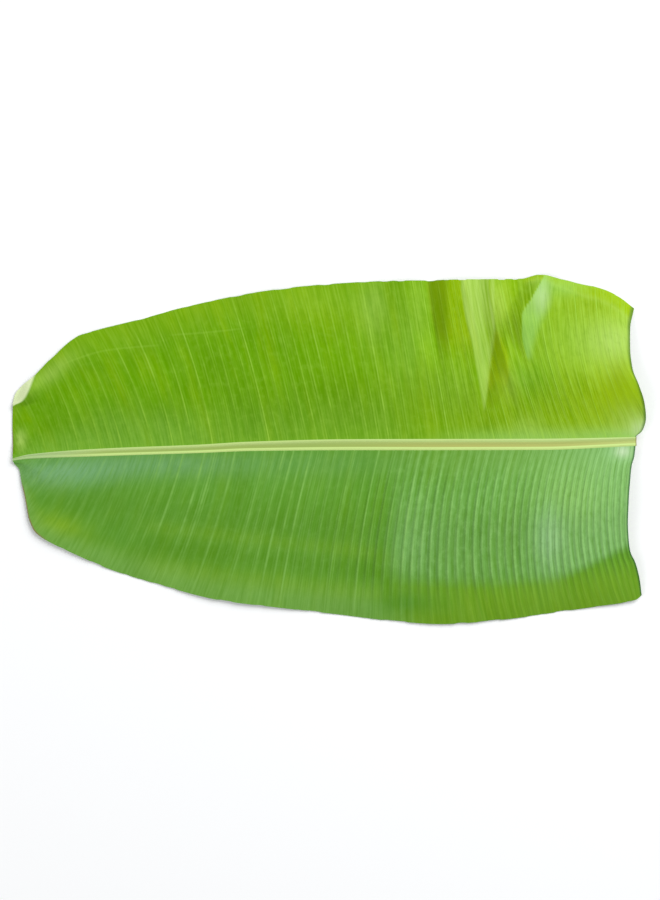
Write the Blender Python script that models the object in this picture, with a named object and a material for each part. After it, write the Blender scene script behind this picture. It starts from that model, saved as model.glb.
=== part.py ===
"""The tip end of a banana leaf, cut across, lying on a table with its upper side up.

The leaf grew as one piece: a midrib with a keel below and a channel on top, and
two blade halves whose lateral veins raise a ridge every 4 to 10 mm. It is modelled
as one closed solid. A flat grid is laid out with one column for each ridge and
each trough, and every point of it is moved to its place on the leaf.
X runs from the tip to the cut end, Y from the near to the far margin, Z is up.
"""
import math
from bisect import bisect_right
from collections import namedtuple

import bmesh
import bpy

NAME = "banana_leaf"
MM = 0.001

# Driving dimensions in millimetres
TIP_X = -270.0
CUT_X = 261.5
BLADE_THICKNESS = 0.8
KEEL_DEPTH_AT_TIP = 1.6
KEEL_DEPTH_AT_CUT = 8.0
CHANNEL_DEPTH = 1.1
BORDER_RISE = 0.5
CUT_REACH = 26.0
SHARP_ANGLE = 40.0

# Shares of a vein's length: where the keel's lift has died out, where the arch is full,
# where the ridges are full, and where they start to fade and have faded
LIFT_END = 0.7
ARCH_FULL = 0.45
RIDGE_FULL = 0.15
RIDGE_FADE = (0.75, 0.95)

# How much of a ridge is left at the margin, and how late on a vein the arch falls and the waves rise
RIDGE_AT_MARGIN = 0.2
MARGIN_FALL = 4
WAVE_ONSET = 3

# Middle of the leaf's plan in the measures below, which becomes the part's origin
PLAN_CENTRE = (-0.24, 0.0)

# Grid rows: -1 to 1 lies across the midrib, the rest runs out to a margin
MIDRIB_ROWS = (-1.0, -0.5, 0.0, 0.5, 1.0)
BLADE_ROWS = (1.07, 1.15, 1.3, 1.46, 1.62, 1.78, 1.91, 2.0)
KEEL_FLAT_ROW = 0.5

# Midrib: foot on X, centre line Y, half its width
MIDRIB = (
    (-270.0, -8.6, 1.0), (-255.5, -6.0, 1.9), (-195.5, -2.5, 3.2), (-110.0, 0.6, 3.6), (-67.0, 2.7, 4.0),
    (18.5, 4.1, 4.7), (104.0, 4.2, 4.8), (181.0, 4.4, 4.8), (261.5, 6.8, 3.8),
)

# Margins: the foot of a lateral vein on the midrib, and the X and Y where it ends
FAR_MARGIN = (
    (-270.0, -270.0, 1.5), (-262.5, -270.5, 16.5), (-252.0, -270.0, 38.0), (-247.0, -268.5, 46.0),
    (-239.0, -262.5, 54.5), (-230.0, -253.0, 62.0), (-202.0, -235.0, 80.0), (-173.5, -212.5, 98.0),
    (-154.5, -195.5, 103.0), (-125.5, -161.5, 111.5), (-94.0, -127.0, 121.0), (-26.0, -58.5, 135.0),
    (22.0, -7.5, 141.0), (66.5, 44.0, 144.0), (131.5, 104.0, 145.0), (206.0, 164.0, 146.0),
    (228.0, 182.0, 149.5), (236.0, 198.0, 146.0), (249.5, 232.5, 138.0), (257.0, 249.5, 130.5),
    (261.5, 261.5, 121.0),
)
NEAR_MARGIN = (
    (-270.0, -268.5, -12.5), (-260.5, -264.5, -17.5), (-247.5, -262.5, -28.5), (-236.0, -259.5, -42.5),
    (-220.5, -256.5, -58.0), (-211.0, -252.0, -69.0), (-204.0, -247.0, -74.0), (-186.0, -227.0, -85.0),
    (-170.5, -208.5, -93.5), (-146.0, -186.0, -103.0), (-105.0, -144.0, -116.0), (-57.0, -93.0, -129.0),
    (-13.5, -41.5, -135.5), (33.0, 10.0, -141.5), (77.5, 61.0, -147.5), (106.0, 95.5, -149.5),
    (144.5, 147.0, -146.0), (190.5, 198.0, -139.0), (225.5, 232.5, -134.0), (247.5, 256.5, -130.5),
    (255.5, 263.0, -129.0), (261.5, 267.5, -124.5),
)

# Cut edge, from the midrib to the margin: share of the way, X, Y
FAR_CUT = (
    (0.0, 261.5, 11.0), (0.07, 267.5, 16.5), (0.15, 270.0, 26.0), (0.26, 268.5, 38.0), (0.41, 263.0, 55.0),
    (0.54, 258.0, 69.0), (0.67, 256.5, 85.0), (0.83, 257.0, 102.5), (1.0, 261.5, 121.0),
)
NEAR_CUT = (
    (0.0, 261.5, 2.5), (0.06, 260.5, -5.5), (0.13, 258.0, -14.0), (0.23, 256.5, -26.0), (0.36, 255.0, -43.0),
    (0.5, 254.5, -60.5), (0.63, 255.5, -77.5), (0.7, 257.0, -87.0), (0.78, 261.5, -96.5),
    (0.9, 265.5, -111.5), (1.0, 267.5, -124.5),
)

# Spacing of the lateral veins: foot on the midrib, spacing
VEIN_SPACING = (
    (-270.0, 10.4), (-60.0, 8.4), (20.0, 7.1), (110.0, 7.2), (170.0, 6.4), (210.0, 5.4), (261.5, 4.2),
)

# How far a vein bows towards the cut end: foot, bow
FAR_BOW = (
    (-270.0, 0.0), (-219.5, 3.5), (-157.0, 4.5), (-69.0, 3.0), (-33.0, 1.5), (87.0, 0.0), (168.0, -3.0),
    (225.0, -4.5), (261.5, -3.0),
)
NEAR_BOW = (
    (-270.0, 0.0), (-125.5, 3.0), (-67.0, 3.0), (-30.0, -1.5), (26.0, -3.0), (80.0, -6.0), (125.0, -9.5),
    (151.0, -14.5), (190.0, -18.5), (232.5, -14.5), (261.5, -10.0),
)

# Height of the arch of each half over the table: foot, height
FAR_ARCH = (
    (-270.0, 1.0), (-180.0, 3.5), (-60.0, 5.0), (60.0, 7.0), (150.0, 10.0), (225.0, 16.0), (261.5, 15.0),
)
NEAR_ARCH = (
    (-270.0, 1.0), (-180.0, 4.0), (-60.0, 6.0), (60.0, 10.0), (140.0, 13.0), (220.0, 13.0), (261.5, 11.0),
)

# How far each margin lifts off the table in low waves: foot, lift
FAR_WAVE = (
    (-270.0, 0.0), (-200.0, 2.0), (-110.0, 0.0), (-20.0, 2.5), (45.0, 1.0), (105.0, 6.5), (150.0, 5.5),
    (190.0, 4.0), (225.0, 1.5), (261.5, 0.0),
)
NEAR_WAVE = (
    (-270.0, 0.5), (-200.0, 2.5), (-130.0, 0.0), (-40.0, 2.5), (40.0, 0.0), (120.0, 1.5), (190.0, 0.0),
    (261.5, 3.0),
)

# Height of the ridges over the troughs between the veins: foot, height
FAR_RIDGE = ((-270.0, 0.2), (-100.0, 0.4), (100.0, 0.4), (261.5, 0.5))
NEAR_RIDGE = ((-270.0, 0.2), (-100.0, 0.4), (40.0, 0.7), (80.0, 1.1), (261.5, 1.2))

# Folds of the far half, each a line from the margin towards the midrib, its width on the tip's
# and on the cut's side, its rise, and the share of the rise that is left at the margin
Fold = namedtuple("Fold", "line tip_side cut_side rise at_margin")
FOLDS = (
    Fold(((85.0, 144.0), (88.5, 117.0), (92.0, 87.0), (93.5, 62.0)), 20.0, 14.0, -6.5, 1.0),
    Fold(((115.0, 144.0), (120.0, 117.0), (122.5, 90.0), (126.0, 60.0)), 14.0, 14.0, 2.5, 1.0),
    Fold(((141.0, 124.0), (141.5, 99.5), (138.0, 70.5), (132.5, 30.0)), 14.0, 11.0, -7.0, 0.0),
    Fold(((137.5, 144.0), (141.5, 110.0), (153.0, 70.5), (169.0, 21.0)), 7.0, 14.0, 3.0, 0.8),
    Fold(
        ((183.5, 147.0), (172.5, 128.0), (164.0, 113.0), (164.0, 98.0), (169.5, 74.0)), 13.0, 15.0, 6.5, 1.0,
    ),
)

# A fold's width at its inner end, the share of its length over which it opens and rises, and
# how rounded its crease and its outer edges are
FOLD_INNER_WIDTH = 0.35
FOLD_RISE_LENGTH = 0.5
CREASE_ROUNDING = 1.0
FLANK_SOFTNESS = 0.12

# The margin's curl beside the tip on the far side: Y and X of its crest, its rise, its widths
# towards the margin and the blade, and its middle and half length along Y
CURL_LINE = (
    (34.0, -272.0), (37.0, -269.5), (41.0, -261.0), (49.0, -255.5), (57.0, -252.5), (66.0, -249.5),
    (72.0, -246.0),
)
CURL_RISE = 5.0
CURL_OUTWARDS = 10.0
CURL_INWARDS = 14.0
CURL_MIDDLE = 50.0
CURL_HALF_LENGTH = 19.0


def slope_at(places, values, row):
    """Slope of a smooth curve at a row of its table: the steps' harmonic mean, or 0 where it turns."""
    steps = [
        (values[first + 1] - values[first]) / (places[first + 1] - places[first])
        for first in (row - 1, row) if 0 <= first < len(places) - 1
    ]
    before, after = steps[0], steps[-1]
    return 0.0 if before * after <= 0.0 else 2.0 * before * after / (before + after)


def smooth_table(table, at):
    """Values of a table's columns at a place, on a smooth curve that never overshoots its rows."""
    places, *columns = zip(*table)
    left = min(max(bisect_right(places, at) - 1, 0), len(places) - 2)
    width = places[left + 1] - places[left]
    t = min(max((at - places[left]) / width, 0.0), 1.0)
    results = []
    for values in columns:
        start, end = values[left], values[left + 1]
        leaving, arriving = slope_at(places, values, left), slope_at(places, values, left + 1)
        level = start * (1 + 2 * t) * (1 - t) ** 2 + end * t * t * (3 - 2 * t)
        results.append(level + width * t * (1 - t) * (leaving * (1 - t) - arriving * t))
    return results


def ease(value):
    """A smooth step from 0 to 1."""
    value = min(max(value, 0.0), 1.0)
    return value * value * (3.0 - 2.0 * value)


def vein_feet():
    """Places on the midrib of every ridge and trough, half a vein's spacing apart."""
    feet = [TIP_X]
    while feet[-1] < CUT_X:
        feet.append(feet[-1] + smooth_table(VEIN_SPACING, feet[-1])[0] / 2.0)
    stretch = (CUT_X - TIP_X) / (feet[-1] - TIP_X)
    return [TIP_X + (foot - TIP_X) * stretch for foot in feet]


def vein_point(foot, far, reach):
    """X and Y on the lateral vein of a foot, from the midrib at reach 0 to the margin at reach 1."""
    margin, cut, bow = (FAR_MARGIN, FAR_CUT, FAR_BOW) if far else (NEAR_MARGIN, NEAR_CUT, NEAR_BOW)

    def lofted(at_foot):
        centre, half_width = smooth_table(MIDRIB, at_foot)
        start_y = centre + half_width if far else centre - half_width
        end_x, end_y = smooth_table(margin, at_foot)
        sideways = smooth_table(bow, at_foot)[0] * 4.0 * reach * (1.0 - reach)
        return at_foot + (end_x - at_foot) * reach + sideways, start_y + (end_y - start_y) * reach

    x, y = lofted(foot)
    last_x, last_y = lofted(CUT_X)
    cut_x, cut_y = smooth_table(cut, reach)
    nearness = max(0.0, 1.0 - (CUT_X - foot) / CUT_REACH) ** 2
    return x + (cut_x - last_x) * nearness, y + (cut_y - last_y) * nearness


def keel_depth(foot):
    """Depth of the midrib's keel below the blades."""
    share = (foot - TIP_X) / (CUT_X - TIP_X)
    return KEEL_DEPTH_AT_TIP + (KEEL_DEPTH_AT_CUT - KEEL_DEPTH_AT_TIP) * share


def fold_height(x, y):
    """Sum of the far half's folds at a place: nearly flat flanks on both sides of each crease."""
    total = 0.0
    for fold in FOLDS:
        top_y, inner_y = fold.line[0][1], fold.line[-1][1]
        line_x = smooth_table([(-point[1], point[0]) for point in fold.line], -y)[0]
        opening = min(max((y - inner_y) / (top_y - inner_y), 0.0), 1.0)
        open_share = ease(opening / FOLD_RISE_LENGTH)
        width = fold.cut_side if x > line_x else fold.tip_side
        width *= FOLD_INNER_WIDTH + (1.0 - FOLD_INNER_WIDTH) * open_share
        away = math.hypot(x - line_x, CREASE_ROUNDING) - CREASE_ROUNDING
        inside = 1.0 - away / width
        flank = 0.5 * (inside + math.hypot(inside, FLANK_SOFTNESS))
        left = 1.0 + (fold.at_margin - 1.0) * ease(2.0 * opening - 1.0)
        total += fold.rise * flank * open_share * left
    return total


def curl_height(x, y):
    """The margin's curl beside the tip: a crest that falls to the margin and to the blade."""
    gap = smooth_table(CURL_LINE, y)[0] - x
    side = gap / CURL_OUTWARDS if gap > 0.0 else -gap / CURL_INWARDS
    return CURL_RISE * ease(1.0 - side) * ease(1.0 - abs(y - CURL_MIDDLE) / CURL_HALF_LENGTH)


def blade_height(foot, far, reach, x, y):
    """Height of the blade's underside over the table, without the vein ridges."""
    arch = smooth_table(FAR_ARCH if far else NEAR_ARCH, foot)[0]
    wave = smooth_table(FAR_WAVE if far else NEAR_WAVE, foot)[0]
    height = keel_depth(foot) * (1.0 - ease(reach / LIFT_END))
    height += arch * ease(reach / ARCH_FULL) * (1.0 - reach ** MARGIN_FALL) + wave * reach ** WAVE_ONSET
    if far:
        height += fold_height(x, y) + curl_height(x, y)
    return height


def ridge_height(foot, far, reach, is_ridge):
    """Rise of a vein's ridge or fall of the trough beside it, dying out at both ends of the vein."""
    relief = smooth_table(FAR_RIDGE if far else NEAR_RIDGE, foot)[0]
    fade = ease((reach - RIDGE_FADE[0]) / (RIDGE_FADE[1] - RIDGE_FADE[0]))
    relief *= ease(reach / RIDGE_FULL) * (1.0 - (1.0 - RIDGE_AT_MARGIN) * fade)
    return relief / 2.0 if is_ridge else -relief / 2.0


def leaf_point(feet, column, row):
    """X, Y, underside and top of the leaf for a column and a row of the grid, before the slope is known."""
    foot = feet[column]
    if abs(row) <= 1.0:
        centre, half_width = smooth_table(MIDRIB, foot)
        depth = keel_depth(foot)
        underside = 0.0 if abs(row) <= KEEL_FLAT_ROW else depth
        top = depth + BLADE_THICKNESS
        if abs(row) < KEEL_FLAT_ROW:
            top -= CHANNEL_DEPTH * depth / KEEL_DEPTH_AT_CUT
        elif abs(row) == KEEL_FLAT_ROW:
            top += BORDER_RISE
        return foot, centre + row * half_width, underside, top
    far, reach = row > 0.0, abs(row) - 1.0
    x, y = vein_point(foot, far, reach)
    underside = blade_height(foot, far, reach, x, y) + ridge_height(foot, far, reach, column % 2 == 0)
    underside = max(underside, 0.0)
    return x, y, underside, underside + BLADE_THICKNESS


def steepness(points, column, row):
    """How much thicker a sloping blade is when measured straight up, at one point of the grid."""
    slopes = []
    for a, b in (((column - 1, row), (column + 1, row)), ((column, row - 1), (column, row + 1))):
        first, second = points.get(a, points[column, row]), points.get(b, points[column, row])
        run = math.hypot(second[0] - first[0], second[1] - first[1])
        slopes.append((second[2] - first[2]) / run)
    return math.sqrt(1.0 + slopes[0] ** 2 + slopes[1] ** 2)


def leaf_points():
    """Every point of the grid as X, Y, underside and top, with the blade's full thickness on slopes."""
    feet = vein_feet()
    rows = [-row for row in reversed(BLADE_ROWS)] + list(MIDRIB_ROWS) + list(BLADE_ROWS)
    points = {}
    for column in range(len(feet)):
        for number, row in enumerate(rows):
            points[column, number] = leaf_point(feet, column, row)
    thick = {}
    for (column, number), (x, y, underside, top) in points.items():
        if abs(rows[number]) > 1.0:
            top = underside + BLADE_THICKNESS * steepness(points, column, number)
        thick[column, number] = (x, y, underside, top)
    return thick, len(feet), len(rows)


def build_leaf(collection):
    """The leaf as one closed solid: a flat grid, made thick, with each point moved to its place."""
    points, columns, rows = leaf_points()
    mesh = bpy.data.meshes.new(NAME)
    shape = bmesh.new()
    bmesh.ops.create_grid(shape, x_segments=columns - 1, y_segments=rows - 1, size=0.5)
    bmesh.ops.triangulate(shape, faces=shape.faces[:], quad_method="ALTERNATE")
    raised = bmesh.ops.extrude_face_region(shape, geom=shape.faces[:])["geom"]
    tops = {item for item in raised if isinstance(item, bmesh.types.BMVert)}
    for vertex in shape.verts:
        column = round((vertex.co.x + 0.5) * (columns - 1))
        row = round((vertex.co.y + 0.5) * (rows - 1))
        x, y, underside, top = points[column, row]
        height = top if vertex in tops else underside
        vertex.co = ((x - PLAN_CENTRE[0]) * MM, (y - PLAN_CENTRE[1]) * MM, height * MM)
    bmesh.ops.recalc_face_normals(shape, faces=shape.faces[:])
    shape.to_mesh(mesh)
    shape.free()
    leaf = bpy.data.objects.new(NAME, mesh)
    collection.objects.link(leaf)
    mesh.shade_smooth()
    mesh.set_sharp_from_angle(angle=math.radians(SHARP_ANGLE))
    return leaf


def leaf_material():
    """Fresh green, softly glossy leaf."""
    material = bpy.data.materials.new("leaf_green")
    material.use_nodes = True
    shader = material.node_tree.nodes["Principled BSDF"]
    shader.inputs["Base Color"].default_value = (0.15, 0.34, 0.025, 1.0)
    shader.inputs["Roughness"].default_value = 0.42
    shader.inputs["Metallic"].default_value = 0.0
    return material


def main():
    for item in list(bpy.data.objects):
        bpy.data.objects.remove(item, do_unlink=True)
    collection = bpy.data.collections.new(NAME)
    bpy.context.scene.collection.children.link(collection)
    leaf = build_leaf(collection)
    leaf.data.materials.append(leaf_material())


main()
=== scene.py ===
# %% [markdown]
# A banana leaf's tip end, cut across and laid upper side up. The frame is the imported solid:
# it fixes the size and the place, and this lesson dresses it. The solid's one node is replaced
# by three finer pieces, the two blade halves and the midrib, which repeat its form from the
# same measures and then add what a coarse solid can't hold: rounded ridges, fine veins, colour.

# %% Load the fixed frame
import math

import bpy
import numpy as np
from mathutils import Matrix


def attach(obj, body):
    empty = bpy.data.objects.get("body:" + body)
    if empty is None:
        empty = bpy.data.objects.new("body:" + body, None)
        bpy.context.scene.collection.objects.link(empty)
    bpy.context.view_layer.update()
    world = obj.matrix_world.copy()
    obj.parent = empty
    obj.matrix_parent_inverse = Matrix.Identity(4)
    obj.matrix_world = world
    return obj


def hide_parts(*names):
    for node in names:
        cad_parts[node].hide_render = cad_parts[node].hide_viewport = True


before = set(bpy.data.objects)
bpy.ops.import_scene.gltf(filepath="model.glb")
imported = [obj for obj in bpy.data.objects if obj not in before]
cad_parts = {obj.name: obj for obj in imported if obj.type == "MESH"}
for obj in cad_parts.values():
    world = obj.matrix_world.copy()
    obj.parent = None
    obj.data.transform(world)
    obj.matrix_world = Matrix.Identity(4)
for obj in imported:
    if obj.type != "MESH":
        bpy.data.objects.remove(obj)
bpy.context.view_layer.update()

MM = 0.001

# %% [markdown]
# The plan of a leaf is a set of curves: the midrib, the two margins and the cut edge. Each is
# a short table in millimetres, read along a smooth curve that never overshoots its rows. The
# margins are listed by the foot of the lateral vein that ends there, because the veins give the
# leaf its grain: a grid that follows them can carry ridges with few points along each vein.

# %% The leaf's plan, in millimetres
TIP_X, CUT_X = -270.0, 261.5
PLAN_CENTRE = (-0.24, 0.0)
CUT_REACH = 26.0

# Midrib: foot on X, centre line Y, half its width
MIDRIB = (
    (-270.0, -8.6, 1.0), (-255.5, -6.0, 1.9), (-195.5, -2.5, 3.2), (-110.0, 0.6, 3.6),
    (-67.0, 2.7, 4.0), (18.5, 4.1, 4.7), (104.0, 4.2, 4.8), (181.0, 4.4, 4.8), (261.5, 6.8, 3.8),
)

# Margins: the foot of a lateral vein on the midrib, and the X and Y where it ends
FAR_MARGIN = (
    (-270.0, -270.0, 1.5), (-262.5, -270.4, 16.5), (-252.0, -270.0, 38.0), (-247.0, -268.5, 46.0),
    (-239.0, -262.5, 54.5), (-230.0, -253.0, 62.0), (-202.0, -235.0, 80.0), (-173.5, -212.5, 98.0),
    (-154.5, -195.5, 103.0), (-125.5, -161.5, 111.5), (-94.0, -127.0, 121.0), (-26.0, -58.5, 135.0),
    (22.0, -7.5, 141.0), (66.5, 44.0, 144.0), (131.5, 104.0, 145.0), (206.0, 164.0, 146.0),
    (228.0, 182.0, 149.5), (236.0, 198.0, 146.0), (249.5, 232.5, 138.0), (257.0, 249.5, 130.5),
    (261.5, 261.5, 121.0),
)
NEAR_MARGIN = (
    (-270.0, -268.5, -12.5), (-260.5, -264.5, -17.5), (-247.5, -262.5, -28.5), (-236.0, -259.5, -42.5),
    (-220.5, -256.5, -58.0), (-211.0, -252.0, -69.0), (-204.0, -247.0, -74.0), (-186.0, -227.0, -85.0),
    (-170.5, -208.5, -93.5), (-146.0, -186.0, -103.0), (-105.0, -144.0, -116.0), (-57.0, -93.0, -129.0),
    (-13.5, -41.5, -135.5), (33.0, 10.0, -141.5), (77.5, 61.0, -147.5), (106.0, 95.5, -149.5),
    (149.5, 147.0, -146.0), (200.5, 198.0, -139.0), (229.0, 232.5, -134.0), (248.5, 256.5, -130.5),
    (255.5, 263.0, -129.0), (261.5, 267.5, -124.5),
)

# Cut edge, from the midrib to the margin: share of the way, X, Y
FAR_CUT = (
    (0.0, 261.5, 11.0), (0.07, 267.5, 16.5), (0.15, 270.0, 26.0), (0.26, 268.5, 38.0),
    (0.41, 263.0, 55.0), (0.54, 258.0, 69.0), (0.67, 256.5, 85.0), (0.83, 257.0, 102.5),
    (1.0, 261.5, 121.0),
)
NEAR_CUT = (
    (0.0, 261.5, 2.5), (0.06, 260.5, -5.5), (0.13, 258.0, -14.0), (0.23, 256.5, -26.0),
    (0.36, 255.0, -43.0), (0.5, 254.5, -60.5), (0.63, 255.5, -77.5), (0.7, 257.0, -87.0),
    (0.78, 261.5, -96.5), (0.9, 265.5, -111.5), (1.0, 267.5, -124.5),
)

# Spacing of the lateral veins: foot on the midrib, spacing
NEAR_SPACING = (
    (-270.0, 10.4), (-60.0, 8.4), (20.0, 7.1), (110.0, 7.2), (170.0, 6.4), (210.0, 5.4), (261.5, 4.2),
)
FAR_SPACING = (
    (-270.0, 9.8), (-110.0, 8.4), (-60.0, 8.0), (20.0, 8.8), (60.0, 8.8), (150.0, 7.2), (261.5, 6.2),
)

# How far a vein bows towards the cut end: foot, bow
FAR_BOW = (
    (-270.0, 0.0), (-219.5, 3.5), (-157.0, 4.5), (-69.0, 3.0), (-33.0, 1.5), (87.0, 0.0), (168.0, -3.0),
    (225.0, -4.5), (261.5, -3.0),
)
NEAR_BOW = (
    (-270.0, 0.0), (-125.5, 3.0), (-67.0, 3.0), (-30.0, -1.5), (26.0, -3.0), (80.0, -6.0),
    (125.0, -9.5), (151.0, -11.5), (190.0, -11.5), (232.5, -13.5), (261.5, -10.0),
)

print("rows that draw the plan:", sum(map(len, (MIDRIB, FAR_MARGIN, NEAR_MARGIN, FAR_CUT, NEAR_CUT))))

# %% [markdown]
# A few rows can draw a long smooth margin if the curve between them is chosen well. A plain
# spline swings past its points and would give the leaf bulges that it doesn't have. Here the
# slope at a row is the harmonic mean of the slopes beside it, and it is level where they differ
# in sign, so the curve never goes past a row. The feet of the veins come from such a table too.

# %% Smooth curves and the feet of the veins
def smooth_table(table, at):
    """A table's columns at one or many places, on smooth curves that never overshoot its rows."""
    data = np.array(table, dtype=float)
    places, values = data[:, 0], data[:, 1:]
    steps = np.diff(values, axis=0) / np.diff(places)[:, None]
    before, after = steps[:-1], steps[1:]
    same_way = before * after > 0.0
    total = np.where(same_way, before + after, 1.0)
    middle = np.where(same_way, 2.0 * before * after / total, 0.0)
    slopes = np.vstack([steps[:1], middle, steps[-1:]])
    at = np.asarray(at, dtype=float)
    left = np.clip(np.searchsorted(places, at, side="right") - 1, 0, len(places) - 2)
    width = (places[left + 1] - places[left])[..., None]
    t = np.clip((at - places[left])[..., None] / width, 0.0, 1.0)
    level = values[left] * (1 + 2 * t) * (1 - t) ** 2 + values[left + 1] * t * t * (3 - 2 * t)
    level = level + width * t * (1 - t) * (slopes[left] * (1 - t) - slopes[left + 1] * t)
    return [level[..., column] for column in range(values.shape[1])]


def ease(value):
    """A smooth step from 0 to 1."""
    value = np.clip(value, 0.0, 1.0)
    return value * value * (3.0 - 2.0 * value)


def vein_feet(spacing):
    """Feet on the midrib, half a vein's spacing apart, stretched a little to end at the cut."""
    feet = [TIP_X]
    while feet[-1] < CUT_X:
        feet.append(feet[-1] + float(smooth_table(spacing, feet[-1])[0]) / 2.0)
    stretch = (CUT_X - TIP_X) / (feet[-1] - TIP_X)
    return TIP_X + (np.array(feet) - TIP_X) * stretch


NEAR_FEET, FAR_FEET = vein_feet(NEAR_SPACING), vein_feet(FAR_SPACING)
print("lateral veins on the near half:", len(NEAR_FEET) // 2, "and on the far half:", len(FAR_FEET) // 2)

# %% [markdown]
# The camera looks straight down, as the photograph does, with the tip at the left. A long lens
# far away keeps the outline true. The leaf is 540 mm long and takes 631 of the picture's 660
# pixels, so the picture, which is 900 pixels high, shows 770 mm where the leaf lies.

# %% Camera
LEAF_PIXELS_LONG = 631.0
LEAF_LENGTH = 540.0
PICTURE_SIZE = (660, 900)
LEAF_MIDDLE_PIXEL = (328.5, 449.5)
LENS, SENSOR = 85.0, 36.0

pixel = LEAF_LENGTH / LEAF_PIXELS_LONG * MM
picture_height = PICTURE_SIZE[1] * pixel
distance = picture_height * LENS / SENSOR
camera_data = bpy.data.cameras.new("camera")
camera_data.lens = LENS
camera_data.sensor_width = SENSOR
camera = bpy.data.objects.new("camera", camera_data)
camera.location = (
    (PICTURE_SIZE[0] / 2 - LEAF_MIDDLE_PIXEL[0]) * pixel - PLAN_CENTRE[0] * MM,
    (LEAF_MIDDLE_PIXEL[1] - PICTURE_SIZE[1] / 2) * pixel - PLAN_CENTRE[1] * MM,
    distance,
)
bpy.context.scene.collection.objects.link(camera)
bpy.context.scene.camera = camera
print("camera height", round(distance, 3), "m, picture height", round(picture_height, 3), "m")

# %% [markdown]
# The stage is a plain pale floor. The light comes from the upper right of the picture, because
# in the photograph every flank that falls to the right is bright and every flank that rises to
# the right is dark. One large soft light does that, and a dim pale surround fills the rest. The
# surround stays dim because a leaf is glossy, and a bright sky over it would wash out its green.

# %% Floor and lights
FLOOR_SIZE = 6.0
FLOOR_GAP = 0.0002
FLOOR_WHITE, FLOOR_ROUGHNESS, FLOOR_SHINE = (0.98, 0.98, 0.98, 1.0), 0.9, 0.1

# Soft lights: name, place, size, power and colour
LIGHTS = (
    ("window", (1.5, 1.5, 1.7), 2.2, 72.0, (0.99, 0.995, 1.0)),
    ("fill", (-1.6, -0.6, 1.8), 1.6, 14.0, (1.0, 1.0, 1.0)),
)
SURROUND_COLOUR, SURROUND_LEVEL = (0.96, 0.98, 1.0, 1.0), 0.42


def add_floor():
    """A large pale square just under the leaf."""
    mesh = bpy.data.meshes.new("floor")
    half = FLOOR_SIZE / 2
    signs = ((-1, -1), (1, -1), (1, 1), (-1, 1))
    mesh.from_pydata([(half * x, half * y, -FLOOR_GAP) for x, y in signs], [], [(0, 1, 2, 3)])
    floor = bpy.data.objects.new("floor", mesh)
    bpy.context.scene.collection.objects.link(floor)
    material = bpy.data.materials.new("floor_white")
    material.use_nodes = True
    shader = material.node_tree.nodes["Principled BSDF"]
    shader.inputs["Base Color"].default_value = FLOOR_WHITE
    shader.inputs["Roughness"].default_value = FLOOR_ROUGHNESS
    shader.inputs["Specular IOR Level"].default_value = FLOOR_SHINE
    mesh.materials.append(material)


def add_light(name, place, size, power, colour):
    """A round soft light that looks at the leaf's middle."""
    data = bpy.data.lights.new(name, "AREA")
    data.shape = "DISK"
    data.size = size
    data.energy = power
    data.color = colour
    light = bpy.data.objects.new(name, data)
    light.location = place
    light.rotation_mode = "QUATERNION"
    light.rotation_quaternion = light.location.to_track_quat("Z", "Y")
    bpy.context.scene.collection.objects.link(light)


def add_surround():
    """The dim pale light that comes from all sides."""
    world = bpy.data.worlds.new("surround")
    world.use_nodes = True
    background = world.node_tree.nodes["Background"]
    background.inputs["Color"].default_value = SURROUND_COLOUR
    background.inputs["Strength"].default_value = SURROUND_LEVEL
    bpy.context.scene.world = world


add_floor()
for light in LIGHTS:
    add_light(*light)
add_surround()
bpy.context.scene.view_settings.view_transform = "Standard"
print("floor", FLOOR_SIZE, "m wide, lights:", [light[0] for light in LIGHTS])

# %% [markdown]
# The leaf lies on its keel. Each half leaves the midrib at the keel's height, arches over the
# table and comes down at its margin, and near the cut end the far half has folds that run in
# from the margin. All of this is one height for each place on the leaf, so the finer pieces
# can't cross themselves. The same tables shape the solid, which keeps both forms alike.

# %% Heights of the leaf over the table, in millimetres
BLADE_THICKNESS = 0.8
KEEL_DEPTH_AT_TIP, KEEL_DEPTH_AT_CUT = 1.6, 8.0
CHANNEL_DEPTH, BORDER_RISE = 0.36, 0.3

# Reach at which the blade has come down from the keel and at which its arch is full, and how
# late it falls to the margin and takes up the margin's waves, as powers of the reach
LIFT_END, ARCH_FULL, MARGIN_FALL, WAVE_ONSET = 0.7, 0.45, 4, 3

# Reach at which a ridge is full and over which it fades, and the share left at the margin
RIDGE_FULL, RIDGE_FADE, RIDGE_AT_MARGIN = 0.25, (0.7, 0.92), 0.15

# Height of the arch, of the margin's waves and of the ridges: foot, height
FAR_ARCH = (
    (-270.0, 1.0), (-180.0, 3.5), (-60.0, 5.0), (60.0, 7.0), (150.0, 10.0), (225.0, 15.5),
    (261.5, 14.7),
)
NEAR_ARCH = (
    (-270.0, 1.0), (-180.0, 4.0), (-60.0, 6.0), (60.0, 10.0), (140.0, 13.0), (220.0, 13.0),
    (261.5, 11.0),
)
FAR_WAVE = (
    (-270.0, 0.0), (-200.0, 2.0), (-110.0, 0.0), (-20.0, 2.5), (45.0, 1.0), (105.0, 6.5), (150.0, 5.5),
    (190.0, 4.0), (225.0, 1.5), (261.5, 0.0),
)
NEAR_WAVE = (
    (-270.0, 0.5), (-200.0, 2.5), (-130.0, 0.0), (-40.0, 2.5), (40.0, 0.0), (120.0, 1.5), (190.0, 0.0),
    (261.5, 3.0),
)
FAR_RIDGE = ((-270.0, 0.1), (-100.0, 0.2), (100.0, 0.2), (261.5, 0.22))
NEAR_RIDGE = ((-270.0, 0.1), (-100.0, 0.2), (30.0, 0.5), (60.0, 1.3), (190.0, 1.2), (261.5, 0.75))
print("the arches rise to", max(row[1] for row in FAR_ARCH), "and", max(row[1] for row in NEAR_ARCH), "mm")

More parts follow.
